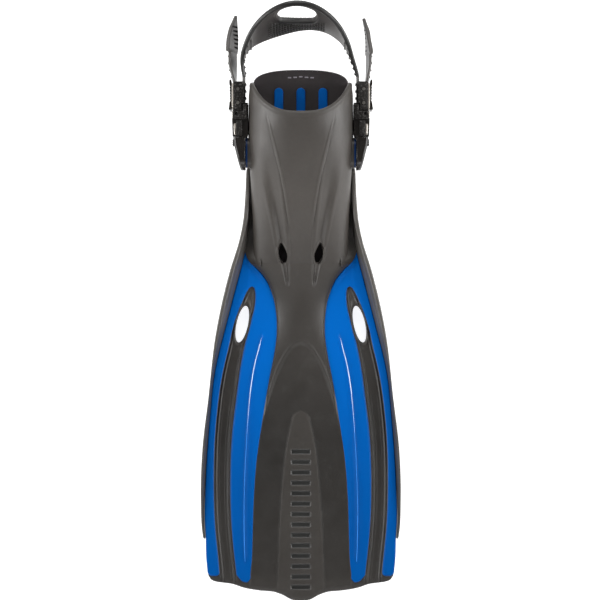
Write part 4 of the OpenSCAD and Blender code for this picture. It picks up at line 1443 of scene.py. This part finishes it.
def build_button(side, word):
    """Push button of the quick release, with rounded corners and three ribs."""
    (low, y0, z0), (high, y1, z1) = BUTTON_LOW, BUTTON_HIGH
    face = high - 0.9
    parts = [prism(rounded(box(y0, z0, y1, z1), 0.9, 4), low, face, 0.35, axis="x")]
    for k in (-1, 0, 1):
        y = (y0 + y1) / 2 + 2.0 * k
        rib = rounded(box(y - 0.5, z0 + 1.4, y + 0.5, z1 - 1.4), 0.4, 3)
        parts.append(prism(rib, face - 0.3, face + 0.4, 0.25, axis="x"))
    buckle_piece(
        f"release_button_{word}_ribbed", parts, BLACK_MAT, f"button_{word}", side,
        f"release_button_{word}",
    )


def build_post(side, word):
    """Grey boss and blue pad on the pocket side, with the round stud of the buckle."""
    r, mid_y = 9.3, PIVOT_Y + 4
    pad = [(y, z) for z, y in stadium(PIVOT_Z, mid_y - 7, mid_y + 7, r, 21)]
    boss = prism(pad, POCKET_U - 9.0, POCKET_U + 1.0, 0.5, axis="x", steps=4)
    stud = circle(PIVOT_Y, PIVOT_Z, 5.45, 40)
    name = f"strap_post_{word}"
    buckle_piece(
        f"{name}_boss", [boss], RUBBER_MAT, "fin", side, split=50
    )
    # The pad and stud take the navy blue, painted with shade
    parts = [
        prism(pad, POCKET_U + 0.3, BASE_IN_U - 0.95, 0.4, axis="x"),
        prism(stud, POCKET_U + 0.5, POST_OUT_U, 0.3, axis="x"),
    ]
    buckle_piece(f"{name}_pad", parts, SHADED_BLUE_MAT, "fin", side, name)


# ---------- Build ----------

SIDES = ((-1, "left"), (1, "right"))

build_pocket()
build_footbed()
build_web()
for side, word in SIDES:
    build_blue(side, word)
    build_rail(side, word)
    build_gusset(side, f"rail_gusset_{word}")
build_strap()
for side, word in SIDES:
    build_base(side, word)
    build_frame(side, word)
    build_lever(side, word)
    build_button(side, word)
    build_post(side, word)

node_looks = {"pivot_screws": STEEL_MAT}
for _, word in SIDES:
    node_looks[f"frame_pins_{word}"] = PIN_MAT
    for node in ("roller", "roller_pin", "lever_pin"):
        node_looks[f"{node}_{word}"] = BLACK_MAT
for node, mat in node_looks.items():
    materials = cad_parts[node].data.materials
    materials.clear()
    materials.append(mat)


# ---------- Floor, light and camera ----------

# Camera height and width of its view at the floor in metres, sensor width in millimetres
CAMERA_Z, VIEW_W, SENSOR = 2.6, 0.66, 36.0


def build_stage():
    """Pale seamless floor, soft boxes and the camera above the fin."""
    mesh = bpy.data.meshes.new("floor")
    size = 6.0
    corners = [(u, v, 0) for u, v in box(-size, -size, size, size)]
    mesh.from_pydata(corners, [], [(0, 1, 2, 3)])
    floor = linked("floor", mesh)
    floor.location.z = -0.0005
    mat = bpy.data.materials.new("pale_floor")
    mat.use_nodes = True
    shader = mat.node_tree.nodes["Principled BSDF"]
    for key, value in (
        ("Base Color", (0.5, 0.5, 0.5, 1)), ("Emission Color", (1, 1, 1, 1)),
        ("Emission Strength", 0.86), ("Roughness", 0.9), ("Specular IOR Level", 0.1),
    ):
        shader.inputs[key].default_value = value
    mesh.materials.append(mat)

    world = bpy.data.worlds.new("studio")
    bpy.context.scene.world = world
    world.use_nodes = True
    background = world.node_tree.nodes["Background"]
    background.inputs["Color"].default_value = (1, 1, 1, 1)
    add = node_adder(world.node_tree)
    way_up = add("SeparateXYZ", {"Vector": add("TexCoord", {}).outputs["Generated"]})
    fade = add("MapRange", {
        "Value": way_up.outputs["Z"], "From Min": 0.25, "From Max": 0.95, "To Min": 1.0,
        "To Max": 0.12,
    })
    world.node_tree.links.new(fade.outputs["Result"], background.inputs["Strength"])

    def soft_box(name, place, size, power):
        light = bpy.data.lights.new(name, "AREA")
        light.shape = "RECTANGLE"
        light.size, light.size_y = size
        light.energy = power
        obj = linked(name, light)
        obj.location = place
        obj.rotation_euler = (-Vector(place)).to_track_quat("-Z", "Y").to_euler()

    soft_box("left_box", (-1.6, 0.1, 0.95), (0.6, 1.6), 37)
    soft_box("right_box", (1.6, 0.1, 0.95), (0.6, 1.6), 37)
    soft_box("heel_box", (0.0, 1.7, 1.5), (1.4, 0.5), 16)
    soft_box("tip_box", (0.0, -1.9, 1.5), (1.4, 0.5), 8)

    camera = bpy.data.cameras.new("camera")
    camera.sensor_width = SENSOR
    camera.lens = SENSOR * CAMERA_Z / VIEW_W
    obj = linked("camera", camera)
    obj.location = (-0.0009, 0.0046, CAMERA_Z)
    bpy.context.scene.camera = obj
    bpy.context.scene.view_settings.view_transform = "Standard"


build_stage()
